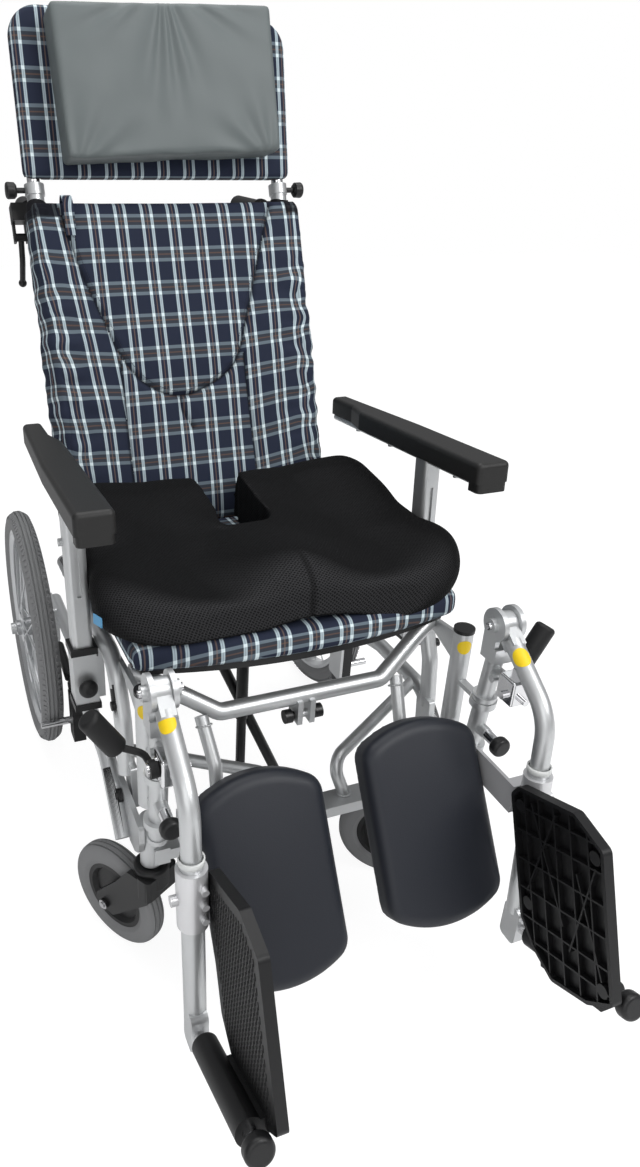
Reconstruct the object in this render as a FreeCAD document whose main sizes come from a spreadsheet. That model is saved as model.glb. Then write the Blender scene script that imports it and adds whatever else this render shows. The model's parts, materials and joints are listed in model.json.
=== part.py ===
import FreeCAD, Part
import math
import os
from FreeCAD import Placement, Rotation, Vector

# Reclining wheelchair, millimetres. X is across (positive is the sitter's left), the front faces -Y, Z is up.
# Every shape is drawn with Y = 0 at the rear axle and then moved back by axle_y.

os.makedirs("parts", exist_ok=True)
doc = FreeCAD.newDocument("reclining_wheelchair")
sheet = doc.addObject("Spreadsheet::Sheet", "Sizes")

SIZES = {
    "axle_y": 352.0,
    "tube_thin": 17.0,
    "tube_mid": 22.2,
    "tube_main": 25.4,
    "tube_wall": 2.0,
    # rear wheels
    "wheel_x": 268.0,
    "wheel_radius": 203.0,
    "tyre_width": 36.0,
    "rim_radius": 171.0,
    "rim_width": 25.0,
    "hub_length": 54.0,
    "axle_dia": 12.0,
    "spoke_dia": 3.0,
    "spoke_count": 20,
    # casters
    "caster_x": 212.0,
    "caster_y": -566.0,
    "caster_trail": 62.0,
    "caster_radius": 75.0,
    "caster_width": 28.0,
    "caster_turn_right": 30.0,
    "caster_turn_left": 58.0,
    "caster_axle_dia": 8.0,
    "caster_stem_dia": 12.0,
    # base
    "base_x": 238.0,
    "base_rear_x": 221.0,
    "cross_bar_z": 190.0,
    "cross_bar_depth": 32.0,
    "cross_bar_height": 16.0,
    "cross_bar_wall": 2.0,
    "weld_face_x": 192.0,
    "axle_plate_x": 226.0,
    "brake_y": -216.0,
    "brake_low": 112.0,
    "brake_high": 226.0,
    "brake_depth": 32.0,
    "brake_width": 19.0,
    # tilt pivot and seat
    "tilt_y": -500.0,
    "tilt_z": 228.0,
    "tilt_pin_dia": 10.0,
    "rail_x": 222.0,
    "seat_pitch": 4.3,
    "seat_ref_y": -300.0,
    "seat_ref_z": 411.0,
    "pan_width": 412.0,
    "pan_thick": 10.0,
    "pad_width": 440.0,
    "pad_thick": 36.0,
    "seat_rear": 150.0,
    "seat_front_side": -232.0,
    "seat_front_mid": -262.0,
    "receiver_x": 212.0,
    "receiver_y": -560.0,
    # arms
    "arm_gap": 18.0,
    "arm_y": -392.0,
    "arm_post_wide": 26.0,
    "arm_post_deep": 30.0,
    "socket_wall": 2.5,
    "socket_low": 312.0,
    "socket_high": 386.0,
    "collar_high": 9.0,
    "arm_pad_thick": 27.0,
    # back
    "back_x": 197.0,
    "back_pivot_y": -138.0,
    "back_pivot_z": 380.0,
    "back_lean": 21.5,
    "back_length": 571.0,
    "upholstery_half": 211.0,
    "upholstery_top_gap": 37.0,
    "handle_drop": 66.0,
    "upholstery_thick": 36.0,
    "grip_dia": 30.0,
    "grip_length": 105.0,
    # headrest
    "head_lean": 13.0,
    "head_half": 212.0,
    "head_high": 240.0,
    "head_thick": 28.0,
    "head_corner": 44.0,
    "head_rim": 9.0,
    "pillow_wide": 334.0,
    "pillow_high": 208.0,
    "pillow_thick": 56.0,
    "head_post_dia": 19.0,
    # legrests
    "leg_x": 214.0,
    "hanger_y": -629.0,
    "hanger_z": 472.0,
    "post_lean": 6.0,
    "elbow_y": -727.0,
    "elbow_z": 402.0,
    "leg_low_y": -748.0,
    "leg_low_z": 96.0,
    "leg_top_z": 330.0,
    "rod_dia": 15.0,
    "rod_rise": 21.5,
    "rod_length": 174.0,
    "barrel_dia": 30.0,
    "plate_thick": 12.0,
    "calf_wide": 158.0,
    "calf_high": 250.0,
    "calf_thick": 38.0,
    "calf_lean": 32.0,
    "calf_stagger": 11.0,
    "calf_x": 105.0,
    "calf_shift": 6.5,
}

for row, (alias, value) in enumerate(SIZES.items(), start=1):
    sheet.set("A%d" % row, alias)
    sheet.set("B%d" % row, str(value))
    sheet.setAlias("B%d" % row, alias)
doc.recompute()


def size(alias):
    return float(sheet.get(alias))


AXLE = Placement(Vector(0, size("axle_y"), 0), Rotation())
SIDES = {"left": 1, "right": -1}
nodes = {}


def keep(obj, label, placement=AXLE):
    obj.Label = label
    obj.Placement = placement
    nodes[label] = obj
    return obj


def keep_shape(label, shape, placement=AXLE):
    obj = doc.addObject("Part::Feature", label)
    obj.Shape = shape.removeSplitter() if len(shape.Solids) == 1 else shape
    return keep(obj, label, placement)


def bind(obj, **links):
    for prop, expression in links.items():
        obj.setExpression(prop, expression)
    return obj


def lean_placement(origin, degrees_about_x):
    return Placement(origin, Rotation(Vector(1, 0, 0), degrees_about_x))


# Solid helpers

def rod(start, end, radius):
    axis = end - start
    return Part.makeCylinder(radius, axis.Length, start, axis)


def block(low, high):
    return Part.makeBox(high[0] - low[0], high[1] - low[1], high[2] - low[2], Vector(*low))


def side_block(sign, x_low, x_high, y_low, y_high, z_low, z_high):
    first, second = sorted((sign * x_low, sign * x_high))
    return block((first, y_low, z_low), (second, y_high, z_high))


def mirrored(shape):
    return shape.mirror(Vector(0, 0, 0), Vector(1, 0, 0))


def joined(shapes):
    return shapes[0].multiFuse(shapes[1:]) if len(shapes) > 1 else shapes[0]


def path_wire(points, bend):
    points = [Vector(*p) for p in points]
    edges = []
    last = points[0]
    for before, corner, after in zip(points, points[1:], points[2:]):
        toward = (before - corner).normalize()
        away = (after - corner).normalize()
        half = 0.5 * (math.pi - toward.getAngle(away))
        reach = bend * math.tan(half)
        enter = corner + toward * reach
        leave = corner + away * reach
        middle = (toward + away).normalize()
        centre = corner + middle * (bend / math.cos(half))
        top = centre - middle * bend
        edges.append(Part.makeLine(last, enter))
        edges.append(Part.Arc(enter, top, leave).toShape())
        last = leave
    edges.append(Part.makeLine(last, points[-1]))
    return Part.Wire(edges)


def bent_tube(points, bend, dia, wall=0.0):
    wire = path_wire(points, bend)
    start = Vector(*points[0])
    direction = Vector(*points[1]) - start
    ring = Part.Face(Part.Wire([Part.makeCircle(dia / 2, start, direction)]))
    solid = wire.makePipe(ring)
    if wall:
        inside = Part.Face(Part.Wire([Part.makeCircle(dia / 2 - wall, start, direction)]))
        solid = solid.cut(wire.makePipe(inside))
    return solid


def flat_plate(sign, x_low, x_high, outline, corner=0.0):
    # a plate in the YZ plane, its outline given as (y, z) pairs
    first = min(sign * x_low, sign * x_high)
    points = [Vector(first, y, z) for y, z in outline]
    face = Part.Face(Part.makePolygon(points + [points[0]]))
    solid = face.extrude(Vector(abs(x_high - x_low), 0, 0))
    if corner:
        edges = [e for e in solid.Edges if abs(e.tangentAt(e.FirstParameter).x) > 0.99]
        solid = solid.makeFillet(corner, edges)
    return solid


def soft_loft(sections):
    wires = []
    for points in sections:
        curve = Part.BSplineCurve()
        curve.interpolate([Vector(*p) for p in points], PeriodicFlag=True)
        wires.append(Part.Wire([curve.toShape()]))
    return Part.makeLoft(wires, True, False)


def round_section(half_wide, back, front, square, count=24):
    # closed rounded outline in (across, through): squareness 2 is an ellipse
    middle = 0.5 * (back + front)
    half = 0.5 * abs(back - front)
    points = []
    for step in range(count):
        angle = 2 * math.pi * (step + 0.5) / count
        across = math.copysign(abs(math.cos(angle)) ** (2 / square), math.cos(angle)) * half_wide
        through = math.copysign(abs(math.sin(angle)) ** (2 / square), math.sin(angle)) * half
        points.append((across, middle + through))
    return points


# PartDesign helpers

def new_body(label):
    body = doc.addObject("PartDesign::Body", label)
    return body


def new_sketch(body, role):
    sketch = doc.addObject("Sketcher::SketchObject", body.Name + "_sketch")
    body.addObject(sketch)
    plane = [f for f in body.Origin.OriginFeatures if f.Role == role][0]
    sketch.AttachmentSupport = [(plane, "")]
    sketch.MapMode = "FlatFace"
    return sketch


def draw_outline(sketch, outline):
    # outline: (x, y) corners; a corner given as ((mx, my), (x, y)) arrives by an arc through its middle
    def end_of(item):
        return item[1] if isinstance(item[0], tuple) else item

    for before, item in zip([outline[-1]] + outline[:-1], outline):
        start = Vector(*end_of(before), 0)
        end = Vector(*end_of(item), 0)
        if isinstance(item[0], tuple):
            sketch.addGeometry(Part.Arc(start, Vector(*item[0], 0), end), False)
        else:
            sketch.addGeometry(Part.LineSegment(start, end), False)


def turned_body(label, outline, placement):
    # outline in (radius, along); turned about its own Z
    body = new_body(label)
    sketch = new_sketch(body, "XZ_Plane")
    draw_outline(sketch, outline)
    doc.recompute()
    turn = body.newObject("PartDesign::Revolution", label + "_turn")
    turn.Profile = sketch
    turn.ReferenceAxis = (sketch, ["V_Axis"])
    turn.Angle = 360.0
    sketch.Visibility = False
    doc.recompute()
    return keep(body, label, placement)


def plate_body(label, outline, thickness, placement):
    # outline in the body's XY plane, thickness is a sheet alias
    body = new_body(label)
    sketch = new_sketch(body, "XY_Plane")
    draw_outline(sketch, outline)
    doc.recompute()
    pad = body.newObject("PartDesign::Pad", label + "_pad")
    pad.Profile = sketch
    pad.setExpression("Length", "Sizes." + thickness)
    sketch.Visibility = False
    doc.recompute()
    return keep(body, label, placement)


def along_x(sign, x, y, z):
    # the body's own Z points outwards along X
    turn = Rotation(Vector(0, 0, 1), Vector(sign, 0, 0))
    return Placement(AXLE.multVec(Vector(sign * x, y, z)), turn)


tube = {name: size("tube_" + name) for name in ("thin", "mid", "main")}

# Rear wheels: treaded tyre, double-wall rim with wire spokes and a hub

wheel_r = size("wheel_radius")
rim_r = size("rim_radius")
rim_half = size("rim_width") / 2
hub_half = size("hub_length") / 2
tyre_half = size("tyre_width") / 2
TREAD_DEEP = 2.0
tyre_inner = rim_r + 0.1
tyre_outline = [
    (tyre_inner, -rim_half + 1),
    (tyre_inner + 6, -tyre_half + 3),
    ((tyre_inner + 15, -tyre_half), (wheel_r - 10, -tyre_half + 4)),
    ((wheel_r - 4.5, -10.5), (wheel_r - 2.0, -7.5)),
    (wheel_r - 2.0 - TREAD_DEEP, -7.0),
    (wheel_r - 2.0 - TREAD_DEEP, -5.5),
    (wheel_r - 0.4, -5.0),
    (wheel_r, -1.4),
    (wheel_r - TREAD_DEEP, -1.0),
    (wheel_r - TREAD_DEEP, 1.0),
    (wheel_r, 1.4),
    (wheel_r - 0.4, 5.0),
    (wheel_r - 2.0 - TREAD_DEEP, 5.5),
    (wheel_r - 2.0 - TREAD_DEEP, 7.0),
    (wheel_r - 2.0, 7.5),
    ((wheel_r - 4.5, 10.5), (wheel_r - 10, tyre_half - 4)),
    ((tyre_inner + 15, tyre_half), (tyre_inner + 6, tyre_half - 3)),
    (tyre_inner, rim_half - 1),
]
rim_outline = [
    (rim_r - 13, -7), (rim_r - 6, -rim_half), (rim_r, -rim_half), (rim_r, rim_half),
    (rim_r - 6, rim_half), (rim_r - 13, 7),
]
hub_outline = [
    (size("axle_dia") / 2 + 0.05, -hub_half), (13, -hub_half), (13, -21), (26, -19), (26, -16), (16, -13),
    (16, 13), (26, 16), (26, 19), (13, 21), (13, hub_half), (size("axle_dia") / 2 + 0.05, hub_half),
]


def turned_shape(outline):
    points = [Vector(r, 0, h) for r, h in outline]
    face = Part.Face(Part.makePolygon(points + [points[0]]))
    return face.revolve(Vector(0, 0, 0), Vector(0, 0, 1), 360)


def spoked_rim():
    pieces = [turned_shape(rim_outline), turned_shape(hub_outline)]
    count = int(size("spoke_count"))
    for step in range(count):
        face = 1 if step % 2 else -1
        lean = 0.42 if (step // 2) % 2 else -0.42
        angle = 2 * math.pi * step / count
        start = Vector(23 * math.cos(angle + lean * 2.2), 23 * math.sin(angle + lean * 2.2), face * 17.5)
        end = Vector((rim_r - 9) * math.cos(angle), (rim_r - 9) * math.sin(angle), face * 3.0)
        pieces.append(rod(start, end, size("spoke_dia") / 2))
    return joined(pieces)


for side, sign in SIDES.items():
    hub_place = along_x(sign, size("wheel_x"), 0, wheel_r)
    turned_body("rear_tyre_" + side, tyre_outline, hub_place)
    keep_shape("rear_rim_" + side, spoked_rim(), hub_place)

# Casters: fork with stem, hub and grooved tyre, swivelled as photographed

caster_r = size("caster_radius")
caster_half = size("caster_width") / 2
trail = size("caster_trail")
stem_r = size("caster_stem_dia") / 2
POST_FOOT = 172.0
COLLAR_TOP = POST_FOOT - 2.0


def caster_fork():
    collar = Part.makeCylinder(23, COLLAR_TOP - 138, Vector(0, 0, 138))
    collar = collar.makeFillet(4, [e for e in collar.Edges if e.Length > 100 and e.Closed])
    stem = Part.makeCylinder(stem_r, 58, Vector(0, 0, COLLAR_TOP - 1))
    crown = block((-27, -20, 130), (27, 3, 162))
    crown = crown.makeFillet(7, [e for e in crown.Edges if abs(e.tangentAt(e.FirstParameter).z) > 0.9])
    legs = []
    for leg in (-1, 1):
        outline = [(-16, 160), (18, 160), (40, 128), (trail + 16, 84), (trail + 16, 66), (trail - 14, 62), (-18, 128)]
        legs.append(flat_plate(leg, 18.5, 26.5, outline, 6))
        legs.append(rod(Vector(leg * 26, trail, caster_r), Vector(leg * 31, trail, caster_r), 7))
    bolt = rod(Vector(-33, trail, caster_r), Vector(33, trail, caster_r), size("caster_axle_dia") / 2)
    return joined([collar, stem, crown, bolt] + legs)


groove = 2.0
caster_tyre_outline = [
    (48.2, -11), (54, -caster_half), (64, -caster_half), ((caster_r - 3.5, -11), (caster_r - 1.2, -8)),
    (caster_r - 1.2 - groove, -7.4), (caster_r - 1.2 - groove, -6.2), (caster_r - 0.4, -5.6),
    (caster_r, -1.2), (caster_r - groove, -0.7), (caster_r - groove, 0.7), (caster_r, 1.2),
    (caster_r - 0.4, 5.6), (caster_r - 1.2 - groove, 6.2), (caster_r - 1.2 - groove, 7.4), (caster_r - 1.2, 8),
    ((caster_r - 3.5, 11), (64, caster_half)), (54, caster_half), (48.2, 11),
]
bolt_clear = size("caster_axle_dia") / 2 + 0.05
caster_hub_outline = [
    (bolt_clear, -17.5), (11, -17.5), (13, -8), (38, -5), (42, -11), (48, -11), (48, 11), (42, 11), (38, 5),
    (13, 8), (11, 17.5), (bolt_clear, 17.5),
]

for side, sign in SIDES.items():
    turn = Rotation(Vector(0, 0, 1), size("caster_turn_" + side))
    stem_place = Placement(AXLE.multVec(Vector(sign * size("caster_x"), size("caster_y"), 0)), turn)
    keep_shape("caster_fork_" + side, caster_fork(), stem_place)
    wheel_local = Placement(Vector(0, trail, caster_r), Rotation(Vector(0, 0, 1), Vector(1, 0, 0)))
    wheel_place = stem_place.multiply(wheel_local)
    turned_body("caster_hub_" + side, caster_hub_outline, wheel_place)
    turned_body("caster_tyre_" + side, caster_tyre_outline, wheel_place)

# Base: each side is welded from the caster post, D plate, bent side tube and axle plate

tilt_y, tilt_z = size("tilt_y"), size("tilt_z")
POST_DIA = 28.0
POST_TOP = 243.0
PLATE_IN, PLATE_OUT = 226.0, 231.0


def base_side(sign):
    x, y = sign * size("caster_x"), size("caster_y")
    post = Part.makeCylinder(POST_DIA / 2, POST_TOP - POST_FOOT, Vector(x, y, POST_FOOT))
    d_plate = flat_plate(sign, PLATE_IN - 2, PLATE_OUT, [
        (-583, 244), (-479, 244), (-479, 222), (-490, 203), (-509, 189), (-535, 182), (-558, 186), (-576, 200),
        (-583, 220)], 4)
    bx, rx = sign * size("base_x"), sign * size("base_rear_x")
    side_tube = bent_tube([
        (bx, -532, 186), (bx, -452, 257), (bx, -330, 257), (rx, -230, 250), (rx, -80, 238), (rx, 26, 234)],
        45, tube["mid"])
    plate_x = size("axle_plate_x")
    axle_plate = flat_plate(sign, plate_x, plate_x + 8, [
        (-36, 246), (36, 246), (36, 190), (20, 170), (-20, 170), (-36, 190)], 8)
    axle = rod(Vector(sign * (plate_x + 4), 0, wheel_r), Vector(sign * (size("wheel_x") + hub_half + 3), 0, wheel_r),
               size("axle_dia") / 2)
    nut = rod(Vector(sign * (size("wheel_x") + hub_half + 1), 0, wheel_r),
              Vector(sign * (size("wheel_x") + hub_half + 9), 0, wheel_r), 10)
    brake_y = size("brake_y")
    brake_plate = flat_plate(sign, 221, plate_x, [
        (brake_y - 20, 252), (brake_y + 20, 252), (brake_y + 20, 130), (brake_y - 20, 130)], 6)
    weld = side_block(sign, size("weld_face_x"), size("caster_x"), y - 17, y + 17, 178, 202)
    pin = rod(Vector(sign * 211, tilt_y, tilt_z), Vector(sign * (PLATE_OUT + 1), tilt_y, tilt_z),
              size("tilt_pin_dia") / 2)
    head = rod(Vector(sign * PLATE_OUT, tilt_y, tilt_z), Vector(sign * (PLATE_OUT + 6), tilt_y, tilt_z), 9)
    keeper = rod(Vector(sign * 208, tilt_y, tilt_z), Vector(sign * 211, tilt_y, tilt_z), 8)
    brace_foot = size("cross_bar_z") + size("cross_bar_height") / 2 + 0.3
    brace = bent_tube([(sign * 60.7, -561, 190), (sign * 40, -553, 250), (bx, -430, 256)], 22, tube["thin"])
    brace = brace.cut(block((-300, -600, 150), (300, -500, brace_foot)))
    solid = joined([post, d_plate, side_tube, axle_plate, axle, nut, brake_plate, weld, pin, head, keeper, brace])
    return solid.cut(Part.makeCylinder(stem_r + 0.05, 62, Vector(x, y, POST_FOOT - 1)))


for side, sign in SIDES.items():
    keep_shape("base_side_" + side, base_side(sign))

bar = bind(doc.addObject("Part::Box", "cross_bar_outer"), Length="2 * Sizes.weld_face_x",
           Width="Sizes.cross_bar_depth", Height="Sizes.cross_bar_height")
hollow = bind(doc.addObject("Part::Box", "cross_bar_inner"), Length="2 * Sizes.weld_face_x",
              Width="Sizes.cross_bar_depth - 2 * Sizes.cross_bar_wall",
              Height="Sizes.cross_bar_height - 2 * Sizes.cross_bar_wall")
wall = size("cross_bar_wall")
hollow.Placement.Base = Vector(0, wall, wall)
cross_bar = doc.addObject("Part::Cut", "cross_bar")
cross_bar.Base, cross_bar.Tool = bar, hollow
corner = Vector(-size("weld_face_x"), size("caster_y") - size("cross_bar_depth") / 2,
                size("cross_bar_z") - size("cross_bar_height") / 2)
keep(cross_bar, "base_cross_bar", Placement(AXLE.multVec(corner), Rotation()))

outer = bind(doc.addObject("Part::Cylinder", "axle_tube_outer"), Radius="Sizes.tube_main / 2",
             Height="2 * Sizes.axle_plate_x")
inner = bind(doc.addObject("Part::Cylinder", "axle_tube_inner"), Radius="Sizes.tube_main / 2 - Sizes.tube_wall",
             Height="2 * Sizes.axle_plate_x")
axle_tube = doc.addObject("Part::Cut", "axle_tube")
axle_tube.Base, axle_tube.Tool = outer, inner
keep(axle_tube, "base_axle_tube",
     Placement(AXLE.multVec(Vector(-size("axle_plate_x"), 0, wheel_r)), Rotation(Vector(0, 0, 1), Vector(1, 0, 0))))


PARK_Z = 212.0
PARK_FACE = 10.0


def brake_unit(sign):
    y, deep = size("brake_y"), size("brake_depth") / 2
    x = size("axle_plate_x")
    low, high = size("brake_low"), size("brake_high")
    case = side_block(sign, x, x + size("brake_width"), y - deep, y + deep, low, PARK_Z - 17)
    head = side_block(sign, x, x + PARK_FACE, y - deep, y + deep, PARK_Z - 18, high)
    case = case.fuse(head).removeSplitter()
    case = case.makeFillet(4, [e for e in case.Edges if abs(e.tangentAt(e.FirstParameter).x) > 0.9
                               and (e.CenterOfMass.z < low + 1 or e.CenterOfMass.z > high - 1)])
    shoe = rod(Vector(sign * (x + 6), -199, 135), Vector(sign * 291, -199, 135), 6)
    pin = rod(Vector(sign * (x + 5), y, PARK_Z), Vector(sign * (x + 19), y, PARK_Z), 4)
    cap = rod(Vector(sign * (x + 18), y, PARK_Z), Vector(sign * (x + 20), y, PARK_Z), 7)
    return joined([case, shoe, pin, cap])


def park_lever(sign):
    y, x = size("brake_y"), size("axle_plate_x") + PARK_FACE
    hub = rod(Vector(sign * (x + 0.4), y, PARK_Z), Vector(sign * (x + 7.6), y, PARK_Z), 9)
    middle = sign * (x + 4)
    neck = rod(Vector(middle, y + 4, PARK_Z), Vector(middle, y + 24, PARK_Z + 2), 3.4)
    grip = rod(Vector(middle, y + 20, PARK_Z + 1.5), Vector(middle, -112, 222), 7.5)
    tip = Part.makeSphere(7.5, Vector(middle, -112, 222))
    solid = joined([hub, neck, grip, tip])
    return solid.cut(rod(Vector(sign * (x - 5), y, PARK_Z), Vector(sign * (x + 20), y, PARK_Z), 4.05))


for side, sign in SIDES.items():
    keep_shape("brake_unit_" + side, brake_unit(sign))
    keep_shape("park_lever_" + side, park_lever(sign))

# Seat frame: rail with its curved front leg, the legrest receiver, gussets, lugs and the back pivot

pitch = size("seat_pitch")
SEAT = Placement(AXLE.multVec(Vector(0, size("seat_ref_y"), size("seat_ref_z"))), Rotation(Vector(1, 0, 0), -pitch))
rise = math.tan(math.radians(pitch))


def seat_line(y, below):
    return size("seat_ref_z") - (y - size("seat_ref_y")) * rise - below


ARM_REF_Z = 345.0
COLLAR_LIP = 2.0
arm_x = size("pad_width") / 2 + size("arm_gap") + size("arm_post_wide") / 2
rail_drop = size("pan_thick") + tube["mid"] / 2 + 0.1
pivot_y, pivot_z = size("back_pivot_y"), size("back_pivot_z")
lean = math.radians(size("post_lean"))
hang_y, hang_z = size("hanger_y"), size("hanger_z")
post_axis = Vector(0, -math.sin(lean), math.cos(lean))
POST_LOW = 250.0
post_low_y = hang_y + (hang_z - POST_LOW) * math.tan(lean)


def post_point(sign, z):
    return Vector(sign * size("leg_x"), hang_y + (hang_z - z) * math.tan(lean), z)


LUG_LEVELS = (272.0, 346.0)
LUG_HIGH = 10.0


def seat_rail(sign):
    x = sign * size("rail_x")
    rail = bent_tube([(x, -112, seat_line(-112, rail_drop)), (x, -452, seat_line(-452, rail_drop)),
                      (x, -484, 330), (x, -493, 258)], 48, tube["mid"])
    eye = flat_plate(sign, 212, 221, [(-512, 275), (-478, 275), (-484, 216), (-494, 211), (-506, 211), (-516, 216)], 4)
    eye = eye.cut(rod(Vector(sign * 205, tilt_y, tilt_z), Vector(sign * 225, tilt_y, tilt_z),
                      size("tilt_pin_dia") / 2 + 0.05))
    rx, ry = sign * size("receiver_x"), size("receiver_y")
    receiver = Part.makeCylinder(tube["main"] / 2, 423 - 262, Vector(rx, ry, 262))
    cap = Part.makeCylinder(tube["main"] / 2 + 1, 5, Vector(rx, ry, 422))
    gusset = flat_plate(sign, 211, 217, [(-440, 398), (-556, 412), (-556, 345), (-540, 372), (-500, 386)])
    pieces = [rail, eye, receiver, cap, gusset]
    for level in LUG_LEVELS:
        centre = post_point(sign, level)
        ring = Part.makeCylinder(17, LUG_HIGH, centre, post_axis)
        web = side_block(sign, 207, 217, centre.y + 4, ry - 2, level + 1, level + LUG_HIGH - 2)
        pieces += [ring, web]
    plug = rod(Vector(sign * 229, -478, 352), Vector(sign * 235, -478, 352), 6)
    arm_front, arm_rear = size("arm_y") - 14, size("arm_y") + 14
    collar_face = arm_x - size("arm_post_wide") / 2 - size("socket_wall") - COLLAR_LIP - 0.2
    socket_rib = side_block(sign, 226, collar_face, arm_front, arm_rear, 318, 393)
    socket_pad = side_block(sign, collar_face - 1, collar_face + 2.2, arm_front, arm_rear, 318, 381)
    back_ear = flat_plate(sign, 213, 219, [
        (-108, 402), (-160, 402), (-160, 368), (-146, 356), (-128, 356), (-108, 366)], 6)
    back_pin = rod(Vector(sign * 183, pivot_y, pivot_z), Vector(sign * 225, pivot_y, pivot_z), 6)
    back_cap = rod(Vector(sign * 225, pivot_y, pivot_z), Vector(sign * 230, pivot_y, pivot_z), 15)
    pieces += [plug, socket_rib, socket_pad, back_ear, back_pin, back_cap]
    solid = joined(pieces)
    low = post_point(sign, 240)
    return solid.cut(Part.makeCylinder(tube["mid"] / 2 + 0.1, 150, low, post_axis))


keep_shape("seat_rail_left", seat_rail(1))
keep_shape("seat_rail_right", mirrored(seat_rail(1)))


def front_bow():
    dia = tube["mid"]
    bow = bent_tube([(-222, -478, 401), (-198, -496, 400), (-112, -532, 352), (112, -532, 352), (198, -496, 400),
                     (222, -478, 401)], 18, dia)
    pieces = [bow]
    for sign in (1, -1):
        hook = bent_tube([(sign * 136, -532, 352), (sign * 129, -566, 300), (sign * 132, -592, 240),
                          (sign * 190, -585, 238)], 24, tube["thin"])
        pieces.append(hook)
        clevis = side_block(sign, 5, 12, -548, -520, 318, 352)
        pieces.append(clevis)
    pieces.append(rod(Vector(-20, -536, 326), Vector(20, -536, 326), 5))
    pieces.append(rod(Vector(-26, -536, 326), Vector(-16, -536, 326), 9))
    pieces.append(rod(Vector(16, -536, 326), Vector(26, -536, 326), 9))
    return joined(pieces)


bow_shape = front_bow()
for sign in (1, -1):
    trim = side_block(sign, size("rail_x") - tube["mid"] / 2 - 0.3, 260, -600, -440, 200, 440)
    bow_shape = bow_shape.cut(trim)
    bow_shape = bow_shape.cut(Part.makeCylinder(tube["main"] / 2 + 0.2, 300,
                                                Vector(sign * size("receiver_x"), size("receiver_y"), 200)))
    bow_shape = bow_shape.cut(Part.makeCylinder(18, 60, post_point(sign, 225), post_axis))
rear_half = size("rail_x") - tube["mid"] / 2 - 0.2
rear_z = seat_line(-205, rail_drop)
rear_tube = rod(Vector(-rear_half, -205, rear_z), Vector(rear_half, -205, rear_z), tube["mid"] / 2)
keep_shape("seat_cross_tubes", Part.makeCompound([bow_shape, rear_tube]))


def tilt_struts():
    # black strut and stay under the front of the seat, hung from a bracket under the pan (seat frame)
    top = -size("pan_thick") - 0.2
    bracket = block((-118, -196, top - 8), (-42, -136, top))
    strut = rod(Vector(-61, -178, top - 4), Vector(-61, -164, -219), 6.5)
    sleeve = rod(Vector(-61, -178, top - 4), Vector(-61, -170, -130), 8)
    stay = rod(Vector(-98, -150, top - 4), Vector(-10, -166, -228), 7)
    return joined([bracket, strut, sleeve, stay])


keep_shape("tilt_struts", tilt_struts(), SEAT)

half = size("pan_width") / 2
rear, front_side, front_mid = size("seat_rear"), size("seat_front_side"), size("seat_front_mid")
pan_outline = [
    (-half, rear), (-half, front_side + 16), ((0, front_mid + 12), (half, front_side + 16)), (half, rear),
]
pan_place = SEAT.multiply(Placement(Vector(0, 0, -size("pan_thick")), Rotation()))
plate_body("seat_pan", pan_outline, "pan_thick", pan_place)


def bowed_pad():
    # front edge bowed forward, every rim rounded
    half_wide, thick = size("pad_width") / 2, size("pad_thick")
    points = [Vector(-half_wide, rear, 0), Vector(-half_wide, front_side, 0), Vector(0, front_mid, 0),
              Vector(half_wide, front_side, 0), Vector(half_wide, rear, 0)]
    edges = [Part.makeLine(points[0], points[1]), Part.Arc(points[1], points[2], points[3]).toShape(),
             Part.makeLine(points[3], points[4]), Part.makeLine(points[4], points[0])]
    solid = Part.Face(Part.Wire(edges)).extrude(Vector(0, 0, thick))
    upright = [e for e in solid.Edges if e.Length < thick + 1 and abs(e.tangentAt(e.FirstParameter).z) > 0.9]
    solid = solid.makeFillet(18, upright)
    rims = [e for e in solid.Edges if abs(e.tangentAt(e.FirstParameter).z) < 0.1]
    return solid.makeFillet(13, rims)


keep_shape("seat_pad", bowed_pad(), SEAT)


def cushion():
    # each station: place along the seat, half width, height at the thighs, at the middle and at the outer edge
    floor = size("pad_thick") + 0.5
    stations = (
        (-252, 160, 30, 42, 30), (-244, 190, 42, 58, 42), (-218, 226, 45, 76, 56), (-182, 244, 47, 78, 64),
        (-140, 243, 50, 72, 66), (-112, 231, 53, 68, 66), (-87, 230, 56, 65, 66), (-62, 232, 59, 64, 68),
        (-20, 240, 66, 68, 74), (40, 242, 78, 78, 82), (90, 238, 86, 86, 86), (114, 228, 82, 82, 80),
        (128, 216, 64, 64, 60), (133, 206, 44, 44, 42),
    )
    sections = []
    for y, half_wide, thigh, middle, edge in stations:
        top = []
        for step in range(17):
            share = -1 + 2 * step / 16
            wave = math.cos(math.pi * share) ** 2
            height = thigh + ((middle if abs(share) < 0.5 else edge) - thigh) * wave
            top.append((share * (half_wide - 12), y, floor + height - 7 * max(0.0, abs(share) - 0.85) / 0.15))
        side_high = floor + 0.5 * edge
        outline = [(-half_wide, y, side_high)] + top + [(half_wide, y, side_high)]
        outline += [(half_wide - 8, y, floor), (half_wide * 0.4, y, floor - 2), (-half_wide * 0.4, y, floor - 2),
                    (-half_wide + 8, y, floor)]
        sections.append(outline)
    solid = soft_loft(sections)
    slot = block((-34, -14, -20), (34, 200, 200)).fuse(Part.makeCylinder(34, 220, Vector(0, -14, -20)))
    below = block((-400, -400, -60), (400, 400, floor))
    return solid.cut(slot).cut(below)


keep_shape("seat_cushion", cushion(), SEAT)

# Arm sockets, posts and pads, all square to the seat

arm_y = size("arm_y")


def arm_place(sign):
    return Placement(AXLE.multVec(Vector(sign * arm_x, arm_y, ARM_REF_Z)), Rotation(Vector(1, 0, 0), -pitch))


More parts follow.
